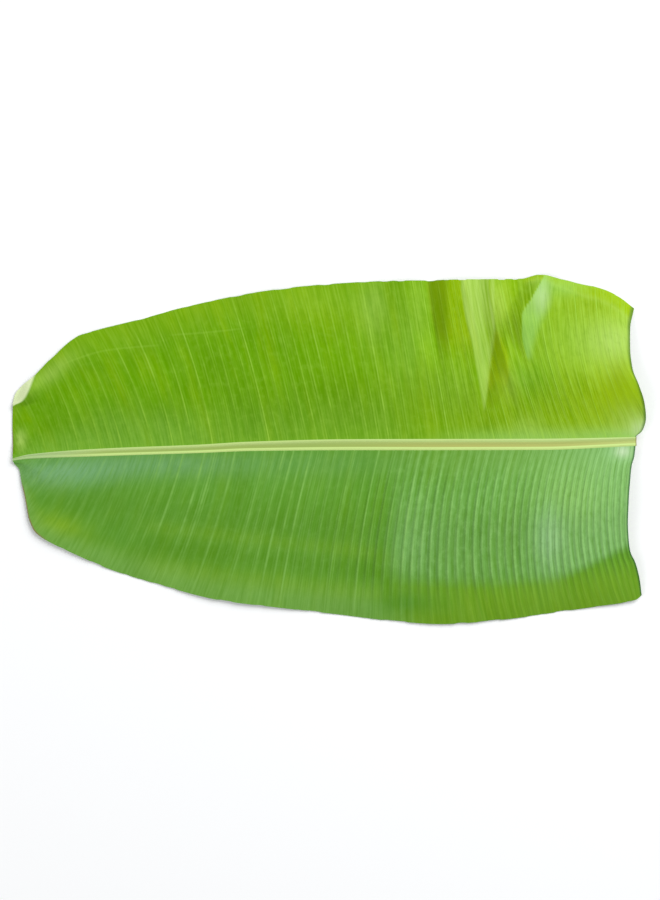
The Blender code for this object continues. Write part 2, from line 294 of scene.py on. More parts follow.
# %% [markdown]
# A fold in a leaf is a crease with a nearly flat flank on each side. It opens towards the
# margin and dies out towards the midrib. Five of them stand beside each other near the cut end,
# three that rise and two that sink, and their sum gives the pleats of the photograph. A flat
# sheet could be bent by hand to look alike, but then no line of it could be found again for the
# colours. The pale curl beside the tip is a crest too, which follows the margin.

# %% Folds and the curl beside the tip
# Folds: line from the margin inwards, width on the tip's and the cut's side, rise, and the
# share of the rise that is left at the margin
FOLDS = (
    (((85.0, 144.0), (88.5, 117.0), (92.0, 87.0), (93.5, 62.0)), 20.0, 14.0, -6.5, 1.0),
    (((115.0, 144.0), (120.0, 117.0), (122.5, 90.0), (126.0, 60.0)), 14.0, 14.0, 2.5, 1.0),
    (((141.0, 124.0), (141.5, 99.5), (138.0, 70.5), (132.5, 30.0)), 14.0, 11.0, -7.0, 0.0),
    (((137.5, 144.0), (141.5, 110.0), (153.0, 70.5), (169.0, 21.0)), 9.0, 14.0, 3.0, 0.8),
    (((183.5, 147.0), (172.5, 128.0), (164.0, 113.0), (164.0, 98.0), (169.5, 74.0)), 13.0, 15.0, 6.0, 1.0),
)
FOLD_INNER_WIDTH = 0.35
FOLD_RISE_LENGTH = 0.5
CREASE_ROUNDING = 0.7
FLANK_SOFTNESS = 0.12

# The margin's pale curl beside the tip: rise, how far it falls off, its place, and the Y and X
# of its crest
CURL_RISE, CURL_OUTWARDS, CURL_INWARDS = 5.0, 10.0, 14.0
CURL_MIDDLE, CURL_HALF_LENGTH = 50.0, 19.0
CURL_LINE = (
    (34.0, -272.0), (37.0, -269.5), (41.0, -261.0), (49.0, -255.5), (57.0, -252.5), (66.0, -249.5),
    (72.0, -246.0),
)


def line_x(line, y):
    """X of a line that runs from the margin inwards, at a height in the plan."""
    return smooth_table([(-point[1], point[0]) for point in line], -y)[0]


def fold_height(x, y):
    """Sum of the far half's folds: nearly flat flanks on both sides of each crease."""
    total = np.zeros_like(x)
    for line, tip_side, cut_side, rise, at_margin in FOLDS:
        top_y, inner_y = line[0][1], line[-1][1]
        crease_x = line_x(line, y)
        opening = np.clip((y - inner_y) / (top_y - inner_y), 0.0, 1.0)
        open_share = ease(opening / FOLD_RISE_LENGTH)
        width = np.where(x > crease_x, cut_side, tip_side)
        width = width * (FOLD_INNER_WIDTH + (1.0 - FOLD_INNER_WIDTH) * open_share)
        away = np.sqrt((x - crease_x) ** 2 + CREASE_ROUNDING ** 2) - CREASE_ROUNDING
        inside = 1.0 - away / width
        flank = 0.5 * (inside + np.sqrt(inside ** 2 + FLANK_SOFTNESS ** 2))
        total += rise * flank * open_share * (1.0 + (at_margin - 1.0) * ease(2.0 * opening - 1.0))
    return total


def curl_gap(x, y):
    """Distance outwards from the crest of the margin's curl beside the tip."""
    return smooth_table(CURL_LINE, y)[0] - x


def curl_height(x, y):
    """The curl: a crest that falls to the margin on one side and to the blade on the other."""
    gap = curl_gap(x, y)
    side = np.where(gap > 0.0, gap / CURL_OUTWARDS, -gap / CURL_INWARDS)
    return CURL_RISE * ease(1.0 - side) * ease(1.0 - np.abs(y - CURL_MIDDLE) / CURL_HALF_LENGTH)


print("folds:", len(FOLDS), "rising or sinking by", [fold[3] for fold in FOLDS], "mm")

# %% [markdown]
# Any place on a half is named by two numbers: the foot of its lateral vein on the midrib, and
# its reach, which is 0 at the midrib and 1 at the margin. One function turns them into X and Y.
# Near the cut end it bends the veins' lines until the last one lies on the cut edge. Another
# adds up the keel's height, the arch, the margin's waves, the folds and the curl.

# %% Places and heights on a half
def vein_point(foot, far, reach):
    """X and Y on a foot's lateral vein, from the midrib at reach 0 to the margin at reach 1."""
    margin, cut, bow = (FAR_MARGIN, FAR_CUT, FAR_BOW) if far else (NEAR_MARGIN, NEAR_CUT, NEAR_BOW)

    def lofted(at_foot):
        centre, half_width = smooth_table(MIDRIB, at_foot)
        start_y = centre + half_width if far else centre - half_width
        end_x, end_y = smooth_table(margin, at_foot)
        sideways = smooth_table(bow, at_foot)[0] * 4.0 * reach * (1.0 - reach)
        return at_foot + (end_x - at_foot) * reach + sideways, start_y + (end_y - start_y) * reach

    x, y = lofted(foot)
    last_x, last_y = lofted(np.full_like(foot, CUT_X))
    cut_x, cut_y = smooth_table(cut, reach)
    nearness = np.maximum(0.0, 1.0 - (CUT_X - foot) / CUT_REACH) ** 2
    return x + (cut_x - last_x) * nearness, y + (cut_y - last_y) * nearness


def keel_depth(foot):
    """Depth of the midrib's keel below the blades."""
    return KEEL_DEPTH_AT_TIP + (KEEL_DEPTH_AT_CUT - KEEL_DEPTH_AT_TIP) * (foot - TIP_X) / (CUT_X - TIP_X)


def blade_height(foot, far, reach, x, y):
    """Height of the blade's underside over the table, without the vein ridges."""
    arch = smooth_table(FAR_ARCH if far else NEAR_ARCH, foot)[0]
    wave = smooth_table(FAR_WAVE if far else NEAR_WAVE, foot)[0]
    height = keel_depth(foot) * (1.0 - ease(reach / LIFT_END))
    height = height + arch * ease(reach / ARCH_FULL) * (1.0 - reach ** MARGIN_FALL)
    height = height + wave * reach ** WAVE_ONSET
    if far:
        height = height + fold_height(x, y) + curl_height(x, y)
    return height


# %% [markdown]
# A vein's number is its count along the midrib from the tip, and it may be any value between
# two veins. Near the cut end the far half was cut across its veins, so there the number grows
# along the cut edge too. Ridges, pale lines and streaks all read this one number.

# %% Vein numbers and ridges
CUT_VEIN_LEAN, CUT_LEAN_START = 40.0, 215.0

# The outer parts of the far half's last veins run straighter: from which reach, by how many
# millimetres, how softly, and from which foot on
STRAIGHT_FROM, STRAIGHTENING, STRAIGHT_SOFTNESS = 0.42, 22.0, 0.15
STRAIGHTENS_AT, STRAIGHTENS_OVER = 185.0, 40.0

RIDGE_VARIATION = 0.2
CREST_SHARPNESS = 0.3
FAR_RIDGE_SEED, NEAR_RIDGE_SEED = 7, 11


def vein_number(foot, far, reach):
    """Number of the vein at a place, in veins from the tip."""
    feet = FAR_FEET if far else NEAR_FEET
    number = np.interp(foot, feet, np.arange(len(feet)) / 2.0)
    if far:
        end_x = smooth_table(FAR_MARGIN, foot)[0]
        beyond = np.where(foot > CUT_LEAN_START, np.maximum(0.0, CUT_VEIN_LEAN + end_x - foot), 0.0)
        outer = reach - STRAIGHT_FROM
        outer = 0.5 * (outer + np.sqrt(outer ** 2 + STRAIGHT_SOFTNESS ** 2))
        straighter = STRAIGHTENING * outer * ease((foot - STRAIGHTENS_AT) / STRAIGHTENS_OVER)
        number = number + (beyond * reach - straighter) / FAR_SPACING[-1][1]
    return number


def ridge_height(number, foot, far, reach):
    """Rounded ridges on the veins' spacing, each a little higher or lower than its neighbours."""
    relief = smooth_table(FAR_RIDGE if far else NEAR_RIDGE, foot)[0]
    fade = ease((reach - RIDGE_FADE[0]) / (RIDGE_FADE[1] - RIDGE_FADE[0]))
    relief = relief * ease(reach / RIDGE_FULL) * (1.0 - (1.0 - RIDGE_AT_MARGIN) * fade)
    nearest = np.round(number).astype(int)
    random = np.random.default_rng(FAR_RIDGE_SEED if far else NEAR_RIDGE_SEED)
    strengths = random.uniform(1.0 - RIDGE_VARIATION, 1.0 + RIDGE_VARIATION, nearest.max() + 1)
    turn = 2.0 * math.pi * number
    over_trough = 0.5 * (1.0 + np.cos(turn)) - 0.5 * CREST_SHARPNESS * (1.0 - np.cos(2.0 * turn))
    return relief * (strengths[nearest] * over_trough - 0.5)


cut_corner = vein_number(np.array([CUT_X, CUT_X]), True, np.array([0.0, 1.0]))
print("vein numbers at the far half's cut edge, midrib and margin:", cut_corner.round(1))

# %% [markdown]
# Each half is a closed sheet: an upper face, an underside and a rim, made from one grid of
# points. Every point also carries what the finish needs to know about its place, such as the
# vein number, how far out it is and which side it is on, as named values on the mesh.

# %% A closed sheet from a grid of points
SMOOTH_ANGLE = 50.0
STEEPEST_LEAN = 3.0
SMALLEST_SLOPE = 1e-9


def sheet_faces(columns, rows):
    """Faces of a closed sheet: the upper grid first, then the lower one, then the rim."""
    index = np.arange(columns * rows).reshape(columns, rows)
    a, b, c, d = index[:-1, :-1], index[1:, :-1], index[1:, 1:], index[:-1, 1:]
    upper = np.stack([a, b, c, d], axis=-1).reshape(-1, 4)
    lower = upper[:, ::-1] + columns * rows
    loop = np.concatenate([index[:, 0], index[-1, 1:], index[-2::-1, -1], index[0, -2:0:-1]])
    after = np.roll(loop, -1)
    rim = np.stack([loop, loop + columns * rows, after + columns * rows, after], axis=-1)
    return np.vstack([upper, lower, rim])


def mesh_piece(name, points, faces, values):
    """A mesh object from points in millimetres, with named values on its points."""
    mesh = bpy.data.meshes.new(name)
    points = (points - np.array([PLAN_CENTRE[0], PLAN_CENTRE[1], 0.0])) * MM
    mesh.from_pydata(points.tolist(), [], [list(face) for face in faces])
    for value_name, numbers in values.items():
        attribute = mesh.attributes.new(value_name, "FLOAT", "POINT")
        attribute.data.foreach_set("value", np.ascontiguousarray(numbers, dtype=np.float32))
    mesh.shade_smooth()
    mesh.set_sharp_from_angle(angle=math.radians(SMOOTH_ANGLE))
    piece = bpy.data.objects.new(name, mesh)
    bpy.context.scene.collection.objects.link(piece)
    print(name, "triangles:", sum(len(polygon.vertices) - 2 for polygon in mesh.polygons))
    return piece


def thickened(under, x, y, thickness):
    """Top of a sheet whose thickness is measured square to its slope."""
    du, dv = ([np.gradient(grid, axis=axis) for grid in (x, y, under)] for axis in (0, 1))
    nx = du[1] * dv[2] - du[2] * dv[1]
    ny = du[2] * dv[0] - du[0] * dv[2]
    nz = du[0] * dv[1] - du[1] * dv[0]
    lean = np.sqrt(nx ** 2 + ny ** 2 + nz ** 2) / np.maximum(np.abs(nz), SMALLEST_SLOPE)
    return under + thickness * np.minimum(lean, STEEPEST_LEAN)


print("faces of a sheet of 3 by 3 points:", len(sheet_faces(3, 3)))

# %% [markdown]
# The blade is thickest at the midrib and thin at the margin. Its rows stand closer together at
# both ends, where the ridges start and the margin turns. The margin of a real leaf is never a
# clean curve, so a small irregular bite is taken off it, always inwards.

# %% Blade halves
BLADE_ROWS = 52
COLUMNS_PER_VEIN = 12
MARGIN_THICKNESS = 0.45
SMALLEST_BITE, MARGIN_BITE = 0.15, 0.6
FAR_BITE_SEED, NEAR_BITE_SEED = 3, 5
BITE_WAVES, SHORTEST_BITE, LONGEST_BITE = 7, 12.0, 90.0
USUAL_VEIN_LENGTH = 140.0
ROW_CROWDING = 0.06
TUCKED_IN = 0.35


def wander(at, seed, waves, shortest, longest):
    """A smooth irregular curve between about -1 and 1: a few waves of random length and phase."""
    random = np.random.default_rng(seed)
    lengths = np.exp(random.uniform(math.log(shortest), math.log(longest), waves))
    phases = random.uniform(0.0, 2.0 * math.pi, waves)
    total = sum(np.sin(2.0 * math.pi * at / length + phase) for length, phase in zip(lengths, phases))
    return total / math.sqrt(waves)


def blade_grid(far):
    """Foot, reach, X and Y of every grid point of one half."""
    half_veins = len(NEAR_FEET) - 1
    columns = np.linspace(0.0, half_veins, half_veins * COLUMNS_PER_VEIN // 2 + 1)
    rows = np.linspace(0.0, 1.0, BLADE_ROWS)
    reach = rows - ROW_CROWDING * np.sin(2.0 * math.pi * rows)
    foot = np.interp(columns, np.arange(half_veins + 1), NEAR_FEET)
    foot, reach = np.meshgrid(foot, reach, indexing="ij")
    seed = FAR_BITE_SEED if far else NEAR_BITE_SEED
    bite = np.clip(wander(foot, seed, BITE_WAVES, SHORTEST_BITE, LONGEST_BITE), 0.0, 1.0)
    bite = SMALLEST_BITE + MARGIN_BITE * bite
    x, y = vein_point(foot, far, reach * (1.0 - bite / USUAL_VEIN_LENGTH * ease(reach)))
    return foot, reach, x, y


def make_blade(name, far):
    """One half of the blade as a closed sheet, with its tones. Its inner edge is tucked into the
    midrib's side, and the near half's rows are turned round so that its faces look outwards."""
    foot, reach, x, y = blade_grid(far)
    number = vein_number(foot, far, reach)
    under = blade_height(foot, far, reach, x, y) + ridge_height(number, foot, far, reach)
    under = np.maximum(under, 0.0)
    thickness = BLADE_THICKNESS + (MARGIN_THICKNESS - BLADE_THICKNESS) * reach
    top = thickened(under, x, y, thickness)
    half_width = smooth_table(MIDRIB, foot)[1]
    y = np.where(reach == 0.0, y - np.where(far, 1.0, -1.0) * TUCKED_IN * half_width, y)
    if not far:
        order = slice(None, None, -1)
        foot, reach, x, y = (grid[:, order] for grid in (foot, reach, x, y))
        number, under, top = (grid[:, order] for grid in (number, under, top))
    points = np.vstack([np.stack([x, y, height], axis=-1).reshape(-1, 3) for height in (top, under)])
    end_x, end_y = vein_point(foot, far, np.ones_like(reach))
    margin_gap = (1.0 - reach) * np.hypot(end_x - foot, end_y)
    values = {"vein": number, "reach": reach, "margin_gap": margin_gap, "cut_gap": CUT_X - foot}
    values.update((far_tones if far else near_tones)(x, y, foot, reach, margin_gap))
    both = {key: np.tile(value.ravel(), 2) for key, value in values.items()}
    both["upper"] = np.repeat([1.0, 0.0], x.size)
    return mesh_piece(name, points, sheet_faces(*x.shape), both)


# %% [markdown]
# A leaf isn't one green. Young tissue that lets light through is yellower, and some parts are a
# deeper green and some olive. Light and shade are painted in as tones too: a painted sheen along the
# midrib and on flanks that face the window, painted highlights, and painted shade in the folds. Such
# changes could be painted on an image, but an image has one size and no reasons. Here each tone is a
# number on every point of the mesh, added up from soft patches and zones whose places are in
# millimetres. A zone is a product of soft changes, each from a start to where it is full.

# %% Soft patches and zones
def change(value, start, full):
    """A soft change, from 0 where the value is at the start to 1 where it is full."""
    return ease((value - start) / (full - start))


def patch(x, y, place, size, turn=0.0):
    """A soft oval patch, 1 in its middle: place and half sizes in millimetres, turned in degrees."""
    c, s = math.cos(math.radians(turn)), math.sin(math.radians(turn))
    dx, dy = x - place[0], y - place[1]
    return np.exp(-(((dx * c + dy * s) / size[0]) ** 2) - ((dy * c - dx * s) / size[1]) ** 2)


def stripe(gap, offset, width):
    """1 where the gap from a line is the offset, fading to both sides."""
    return np.exp(-((gap - offset) / width) ** 2)


def between(x, y, left, right, left_softness, right_softness):
    """1 between two lines, with a soft change over each."""
    from_left = ease((x - line_x(left, y)) / left_softness + 0.5)
    return from_left * ease((line_x(right, y) - x) / right_softness + 0.5)


def add_zones(zones, known):
    """Adds zones to what is known: each is a product of known ones and of soft changes."""
    for name, factors in zones.items():
        known[name] = math.prod(
            known[factor] if isinstance(factor, str) else change(known[factor[0]], *factor[1:])
            for factor in factors)


def add_up(tones, patches, known):
    """Adds up each tone from its shares of the known zones and from its own patches."""
    totals = {}
    for tone, shares in tones.items():
        total = sum((share * known[zone] for zone, share in shares.items()), np.zeros_like(known["x"]))
        for strength, *oval in patches.get(tone, ()):
            total += strength * patch(known["x"], known["y"], *oval)
        totals[tone] = total
    return totals


at_edge = float(patch(10.0, 0.0, (0.0, 0.0), (10.0, 10.0)))
print("a patch of 10 mm, 10 mm off its middle:", round(at_edge, 3))

# %% [markdown]
# The far half is the yellower one. Its folds get painted light and shade on four kinds of flank: one
# in painted shade, a pale one in painted sheen with fine lines along it, a wedge with painted shade on
# one side and a painted highlight on the other, and a kite-shaped one in a cool painted sheen with
# painted shade beside it. Each lies between two lines that run in from the margin. A yellow hem
# follows the margin beside the cut, and two faint creases follow it further towards the tip.

# %% Zones of the far half
# Two faint creases beside the far margin, one after the other: X and Y
FIRST_CREASE = ((-234.0, 70.0), (-215.0, 77.5), (-191.0, 84.5), (-165.0, 87.5), (-140.0, 89.5))
SECOND_CREASE = ((-140.0, 97.5), (-110.0, 99.5), (-80.0, 102.5), (-62.0, 104.5))
CREASE_CHANGE = -140.0

# Lines between which a fold shows another tone, from the margin inwards
VALLEY, KITE_LEFT = FOLDS[2][0], FOLDS[4][0]
DARK_LEFT = ((84.5, 139.0), (89.5, 111.0), (95.5, 85.0))
DARK_RIGHT = ((101.5, 139.0), (101.0, 111.0), (101.0, 85.0))
FACET_LEFT = ((113.0, 136.5), (117.0, 111.0), (122.3, 89.5), (126.0, 68.0), (130.0, 46.5), (132.5, 33.0))
WEDGE_RIGHT = ((143.5, 99.5), (151.0, 78.5), (152.0, 58.0), (144.0, 40.5), (136.5, 29.5))
SHADE_LEFT = ((160.5, 136.5), (155.5, 111.0), (153.0, 89.5))
KITE_RIGHT = ((187.0, 142.5), (186.0, 125.0), (179.5, 106.5), (174.0, 90.0), (171.0, 75.0))

# Areas between two of the lines, and how soft they are over each
# The dark and shade areas carry painted shade, the facet and the kite a painted sheen, and the ledge a
# yellower tone that is partly painted light
FOLD_AREAS = {
    "facet_area": (FACET_LEFT, VALLEY, 2.0, 2.5),
    "wedge_area": (VALLEY, WEDGE_RIGHT, 1.5, 3.0),
    "dark_area": (DARK_LEFT, DARK_RIGHT, 5.0, 9.0),
    "ledge_area": (DARK_RIGHT, FACET_LEFT, 6.0, 1.5),
    "shade_area": (SHADE_LEFT, KITE_LEFT, 8.0, 1.5),
}

# Softness of the kite's two sides, and where on Y its right side gets twice as soft
KITE_SOFTNESS, KITE_SOFTENS = (1.2, 8.0), (100.0, 130.0)

# Stripes beside one of the lines: how far to its right, and their half width
# wedge_left holds the wedge's painted shade and wedge_rim its painted highlight
FOLD_STRIPES = {
    "facet_rim": (FACET_LEFT, 3.5, 2.6),
    "facet_fold": (VALLEY, -5.0, 4.0),
    "wedge_left": (VALLEY, 1.5, 3.6),
    "wedge_rim": (WEDGE_RIGHT, -1.0, 2.6),
}
FACET_LINES = {"seed": 17, "waves": 6, "shortest": 2.4, "longest": 9.0}

# The hem's two widths, the feet between which it widens, and the pale line along it; then the
# strip beside the midrib, as a reach, and two patches that serve as zones
HEM_WIDTHS, HEM_WIDENS, HEM_LINE_WIDTH = (5.0, 12.0), (222.0, 250.0), 2.5
RIB_STRIP = 0.06
CUT_PATCH = ((250.0, 46.0), (20.0, 24.0))
KITE_PATCH = ((184.0, 130.0), (9.0, 14.0))

# Each zone is a product: names of known zones, and soft changes of a measure from start to full
FAR_ZONES = {
    "facet": ("facet_area", ("y", 31.0, 35.0)),
    "facet_edge": ("facet_rim", ("y", 64.0, 94.0)),
    "facet_outer": ("facet", ("y", 80.0, 120.0)),
    "facet_stripe": ("facet", "facet_fold", ("y", 84.0, 100.0)),
    "facet_lined": ("facet", "facet_lines"),
    "wedge": ("wedge_area", ("y", 28.0, 42.0), ("y", 102.0, 97.0)),
    "wedge_outer": ("wedge", ("y", 50.0, 70.0)),
    "wedge_inner": ("wedge", ("y", 80.0, 66.0)),
    "wedge_dark": ("wedge_left", ("y", 44.0, 56.0), ("y", 104.0, 96.0)),
    "wedge_lit": ("wedge_rim", ("y", 52.0, 68.0), ("y", 100.0, 92.0)),
    "dark": ("dark_area", ("y", 74.0, 102.0)),
    "ledge": ("ledge_area", ("y", 74.0, 102.0)),
    "shade": ("shade_area", ("y", 88.0, 108.0)),
    "kite": ("kite_area", ("y", 74.0, 78.0)),
    "kite_outer": ("kite", ("y", 104.0, 132.0)),
    "kite_bright": ("kite", "kite_patch"),
    "hem": (("hem_gap", 2.0, -2.0), ("foot", 205.0, 220.0)),
    "hem_edge": ("hem_line", ("foot", 205.0, 220.0)),
    "hem_start": ("hem", ("x", 235.0, 215.0)),
    "rib_pale": ("rib_strip", ("x", 140.0, 180.0)),
    "rib_palest": ("rib_strip", ("x", 225.0, 260.0)),
    "rib_cool": ("rib_strip", ("x", 60.0, 160.0)),
    "rib_coolest": ("rib_strip", ("x", 205.0, 245.0)),
    "inner": (("reach", 0.4, 0.0), ("x", 100.0, 40.0)),
    "inner_tip": ("inner", ("x", -60.0, -140.0)),
    "outer_yellow": (("reach", 0.75, 1.0), ("x", 60.0, -40.0)),
    "outer_pale": (("reach", 0.7, 0.9), ("x", -60.0, -120.0)),
    "outer_plain": (("reach", 0.8, 0.95), ("x", 60.0, 20.0)),
    "past_middle": (("x", -60.0, 20.0),),
    "towards_cut": (("x", 20.0, 180.0),),
    "streaky_part": (("x", 80.0, 180.0),),
    "at_cut": (("x", 170.0, 230.0),),
    "tip_half": (("x", -90.0, -150.0),),
    "tip": (("x", -200.0, -240.0),),
    "tip_corner": (("y", 20.0, 10.0), ("x", -262.0, -266.0)),
    "creased": (("x", -232.0, -220.0), ("x", -66.0, -82.0), ("crease_end_gap", 0.0, 12.0)),
}
print("zones of the far half:", len(FAR_ZONES))

# %% [markdown]
# The tones of the far half are shares of these zones and some patches of their own. Yellow,
# wax, deep, olive, cool, bloom and brown each stand for a paint in the material.
# The tones wax and cool are mostly painted sheen, bloom is painted highlights, on
# the folds deep and olive are painted shade, and yellow is partly painted light on a few lit flanks.
# Plain takes the vein lines away, streaky adds streaks, and crease and its gap draw the faint creases.

# %% Tones of the far half
# Each tone: how much every zone adds to it
FAR_TONES = {
    # yellow on the ledge, the facet's edge and the wedge's lit rim is partly painted light
    "yellow": {
        "everywhere": 0.02, "outer_yellow": 0.22, "past_middle": 0.08, "towards_cut": 0.4, "at_cut": 0.3,
        "hem": 0.65, "ledge": 0.45, "facet_edge": 0.45, "wedge_lit": 0.6, "wedge_dark": 0.3,
        "wedge_outer": 0.9, "dark": 0.15,
    },
    # wax: painted sheen on the facet, the kite and the strips beside the midrib, partly a pale tone
    "wax": {
        "facet": 0.5, "facet_outer": 0.1, "facet_stripe": -0.34, "facet_lined": 0.16, "facet_edge": 0.08,
        "kite_outer": 0.75, "outer_pale": 0.03, "rib_pale": 0.35, "rib_palest": 0.35,
    },
    # deep on the shade zone is painted shade
    "deep": {"shade": 0.9, "hem_start": 0.35},
    # olive on the dark zone and the wedge is painted shade; its patches near the cut are an olive tone
    "olive": {"dark": 0.38, "wedge_dark": 0.25, "wedge_inner": 0.15},
    # cool: a cool painted sheen on the kite and in the strips beside the midrib
    "cool": {"kite": 0.68, "rib_cool": 0.6, "rib_coolest": 0.2, "inner": 0.14, "inner_tip": 0.12},
    # bloom: a painted highlight at the top of the kite
    "bloom": {"kite_bright": 0.4},
    "brown": {"tip_corner": 1.0},
    "plain": {
        "dark": 0.6, "wedge": 0.5, "facet": 0.75, "kite": 0.4, "cut_patch": 0.6, "outer_plain": 0.5,
        "tip": 0.3, "tip_half": 0.3,
    },
    "streaky": {"everywhere": 0.2, "streaky_part": 0.28},
    "crease": {"creased": 1.0},
}

# Patches of each tone: strength, place, half sizes and turn
FAR_PATCHES = {
    "yellow": (
        (0.3, (-10.0, 118.0), (34.0, 18.0)), (0.5, (146.0, 124.0), (8.0, 16.0)),
        (0.7, (249.0, 54.0), (18.0, 20.0)), (0.25, (152.0, 51.0), (9.0, 14.0)),
        (-0.3, (172.0, 60.0), (20.0, 18.0)),
    ),
    "wax": (
        (0.85, (244.0, 92.0), (26.0, 20.0)), (0.4, (253.0, 22.0), (16.0, 16.0)),
        (0.42, (145.0, 123.0), (8.0, 18.0)), (0.12, (152.0, 51.0), (9.0, 14.0)),
        (0.3, (-236.0, 66.0), (24.0, 7.0), 38.0), (0.25, (168.0, 20.0), (12.0, 9.0)),
        (0.12, (76.0, 122.0), (8.0, 24.0)), (0.25, (37.0, 119.0), (12.0, 26.0)),
        (0.95, (268.0, 18.0), (11.0, 12.0)), (0.7, (-263.0, 8.0), (4.5, 8.0)),
    ),
    "deep": (
        (0.24, (-205.0, 25.0), (60.0, 26.0)), (0.35, (10.0, 35.0), (140.0, 30.0)),
        (0.6, (139.0, 22.0), (14.0, 9.0)), (0.3, (226.0, 121.0), (20.0, 8.0)),
    ),
    "olive": (
        (0.16, (145.0, 123.0), (8.0, 18.0)), (0.24, (222.0, 124.0), (30.0, 12.0)),
        (0.35, (246.0, 64.0), (12.0, 14.0)),
    ),
    "cool": (
        (0.08, (-180.0, 27.0), (42.0, 16.0)), (0.16, (66.0, 84.0), (18.0, 34.0)),
        (0.1, (-10.0, 126.0), (50.0, 14.0)), (0.12, (108.0, 52.0), (22.0, 26.0)),
        (0.12, (164.0, 60.0), (14.0, 14.0)), (0.22, (205.0, 92.0), (32.0, 34.0)),
        (0.5, (200.0, 139.0), (20.0, 9.0)),
    ),
    # bloom patch: a painted highlight on the rounded lobe beside the cut
    "bloom": ((0.4, (266.0, 16.5), (8.0, 7.0)),),
}
HEM_LINE_PALE = 0.25

# Zones that calm the streaks, and by how much
FAR_CALM = {"cut_patch": 0.7, "dark": 0.6, "wedge": 0.6, "facet": 0.7}


def far_tones(x, y, foot, reach, margin_gap):
    """The far half: yellower towards the cut, painted sheen on the flanks that catch the window, painted
    shade in its folds.
    """
    hem_width = HEM_WIDTHS[0] + (HEM_WIDTHS[1] - HEM_WIDTHS[0]) * change(foot, *HEM_WIDENS)
    hem_gap = margin_gap - hem_width
    margin_softness = KITE_SOFTNESS[1] * (1.0 + change(y, *KITE_SOFTENS))
    known = {
        "x": x, "y": y, "foot": foot, "reach": reach, "everywhere": np.ones_like(x),
        "kite_area": between(x, y, KITE_LEFT, KITE_RIGHT, KITE_SOFTNESS[0], margin_softness),
        "kite_patch": patch(x, y, *KITE_PATCH), "cut_patch": patch(x, y, *CUT_PATCH),
        "facet_lines": wander(x - line_x(FACET_LEFT, y), **FACET_LINES),
        "hem_gap": hem_gap, "hem_line": stripe(hem_gap, 0.0, HEM_LINE_WIDTH),
        "rib_strip": stripe(reach, 0.0, RIB_STRIP), "crease_end_gap": np.abs(x - CREASE_CHANGE),
    }
    known.update({name: between(x, y, *area) for name, area in FOLD_AREAS.items()})
    known.update({name: stripe(x - line_x(line, y), *rest) for name, (line, *rest) in FOLD_STRIPES.items()})
    add_zones(FAR_ZONES, known)
    tones = add_up(FAR_TONES, FAR_PATCHES, known)
    tones["wax"] = tones["wax"] * (1.0 - known["hem"]) + HEM_LINE_PALE * known["hem_edge"]
    for zone, share in FAR_CALM.items():
        tones["streaky"] = tones["streaky"] * (1.0 - share * known[zone])
    first_y, second_y = (smooth_table(table, x)[0] for table in (FIRST_CREASE, SECOND_CREASE))
    tones["crease_gap"] = y - np.where(x < CREASE_CHANGE, first_y, second_y)
    tones["curl_gap"] = curl_gap(x, y)
    return tones


far_blade = make_blade("far_blade", True)
print("far half's tones:", ", ".join(FAR_TONES))

# %% [markdown]
# The near half is cooler. Towards the tip a painted pale sheen lies below the midrib and a dark band
# crosses the blade. Towards the cut the ridges stand high and lit, and their lit part carries a painted
# sheen and painted highlights, as far as a line where the blade turns down to the margin, and past it
# the green is darker and plainer.

# %% Tones of the near half
# Lower edge of the lit part: X and Y, its softness and where on X it gets sharper, and the
# share of the light beside the midrib
LIT_EDGE = ((40.0, -105.0), (60.0, -108.0), (125.0, -112.0), (190.0, -108.0), (255.0, -82.0))
LIT_SOFTNESS, LIT_SHARPENS = (18.0, 10.0), (150.0, 250.0)
LIT_AT_RIB = 0.25

# Line of the dark band: X and Y
DARK_BAND = ((-170.0, -80.0), (-33.0, -96.0), (40.0, -105.0), (87.0, -119.0))

# Stripes along the dark band: how far above its line, and their half width
BAND_STRIPES = {"band_core": (0.0, 8.0), "band_lower": (-19.0, 9.0), "band_upper": (16.0, 7.0)}
LIT_PATCH = ((211.0, -40.0), (30.0, 24.0))

# Zones from which the lit part is worked out, and then the others
NEAR_STARTS = {
    "right": (("x", 30.0, 90.0),),
    "lit_start": (("x", 46.0, 64.0), "above"),
    "lit_off_rib": (("y", -18.0, -48.0),),
    "lit_full": (("x", 90.0, 150.0),),
    "in_band": (("x", -175.0, -135.0), ("x", 70.0, 30.0)),
}
NEAR_ZONES = {
    "band": ("in_band", "band_core"),
    "below_band": ("in_band", "band_lower"),
    "above_band": ("in_band", "band_upper"),
    "lit_cut": ("lit", ("x", 150.0, 240.0)),
    "lit_yellow": ("lit", "lit_patch"),
    "dark_margin": ("right", "below"),
    "outer_right": ("right", "unlit", ("reach", 0.6, 0.9)),
    "rib_yellow": ("right", ("reach", 0.22, 0.02)),
    "rib_plain": ("right", ("reach", 0.28, 0.0)),
    "outer_yellow": ("left", ("reach", 0.72, 0.92)),
    "outer_pale": ("left", ("reach", 0.78, 0.95)),
    "outer_plain": ("left", ("reach", 0.6, 0.9)),
    "tip_half": (("x", -90.0, -200.0),),
    "tip_corner": (("y", -26.0, -34.0), ("x", -236.0, -252.0)),
}

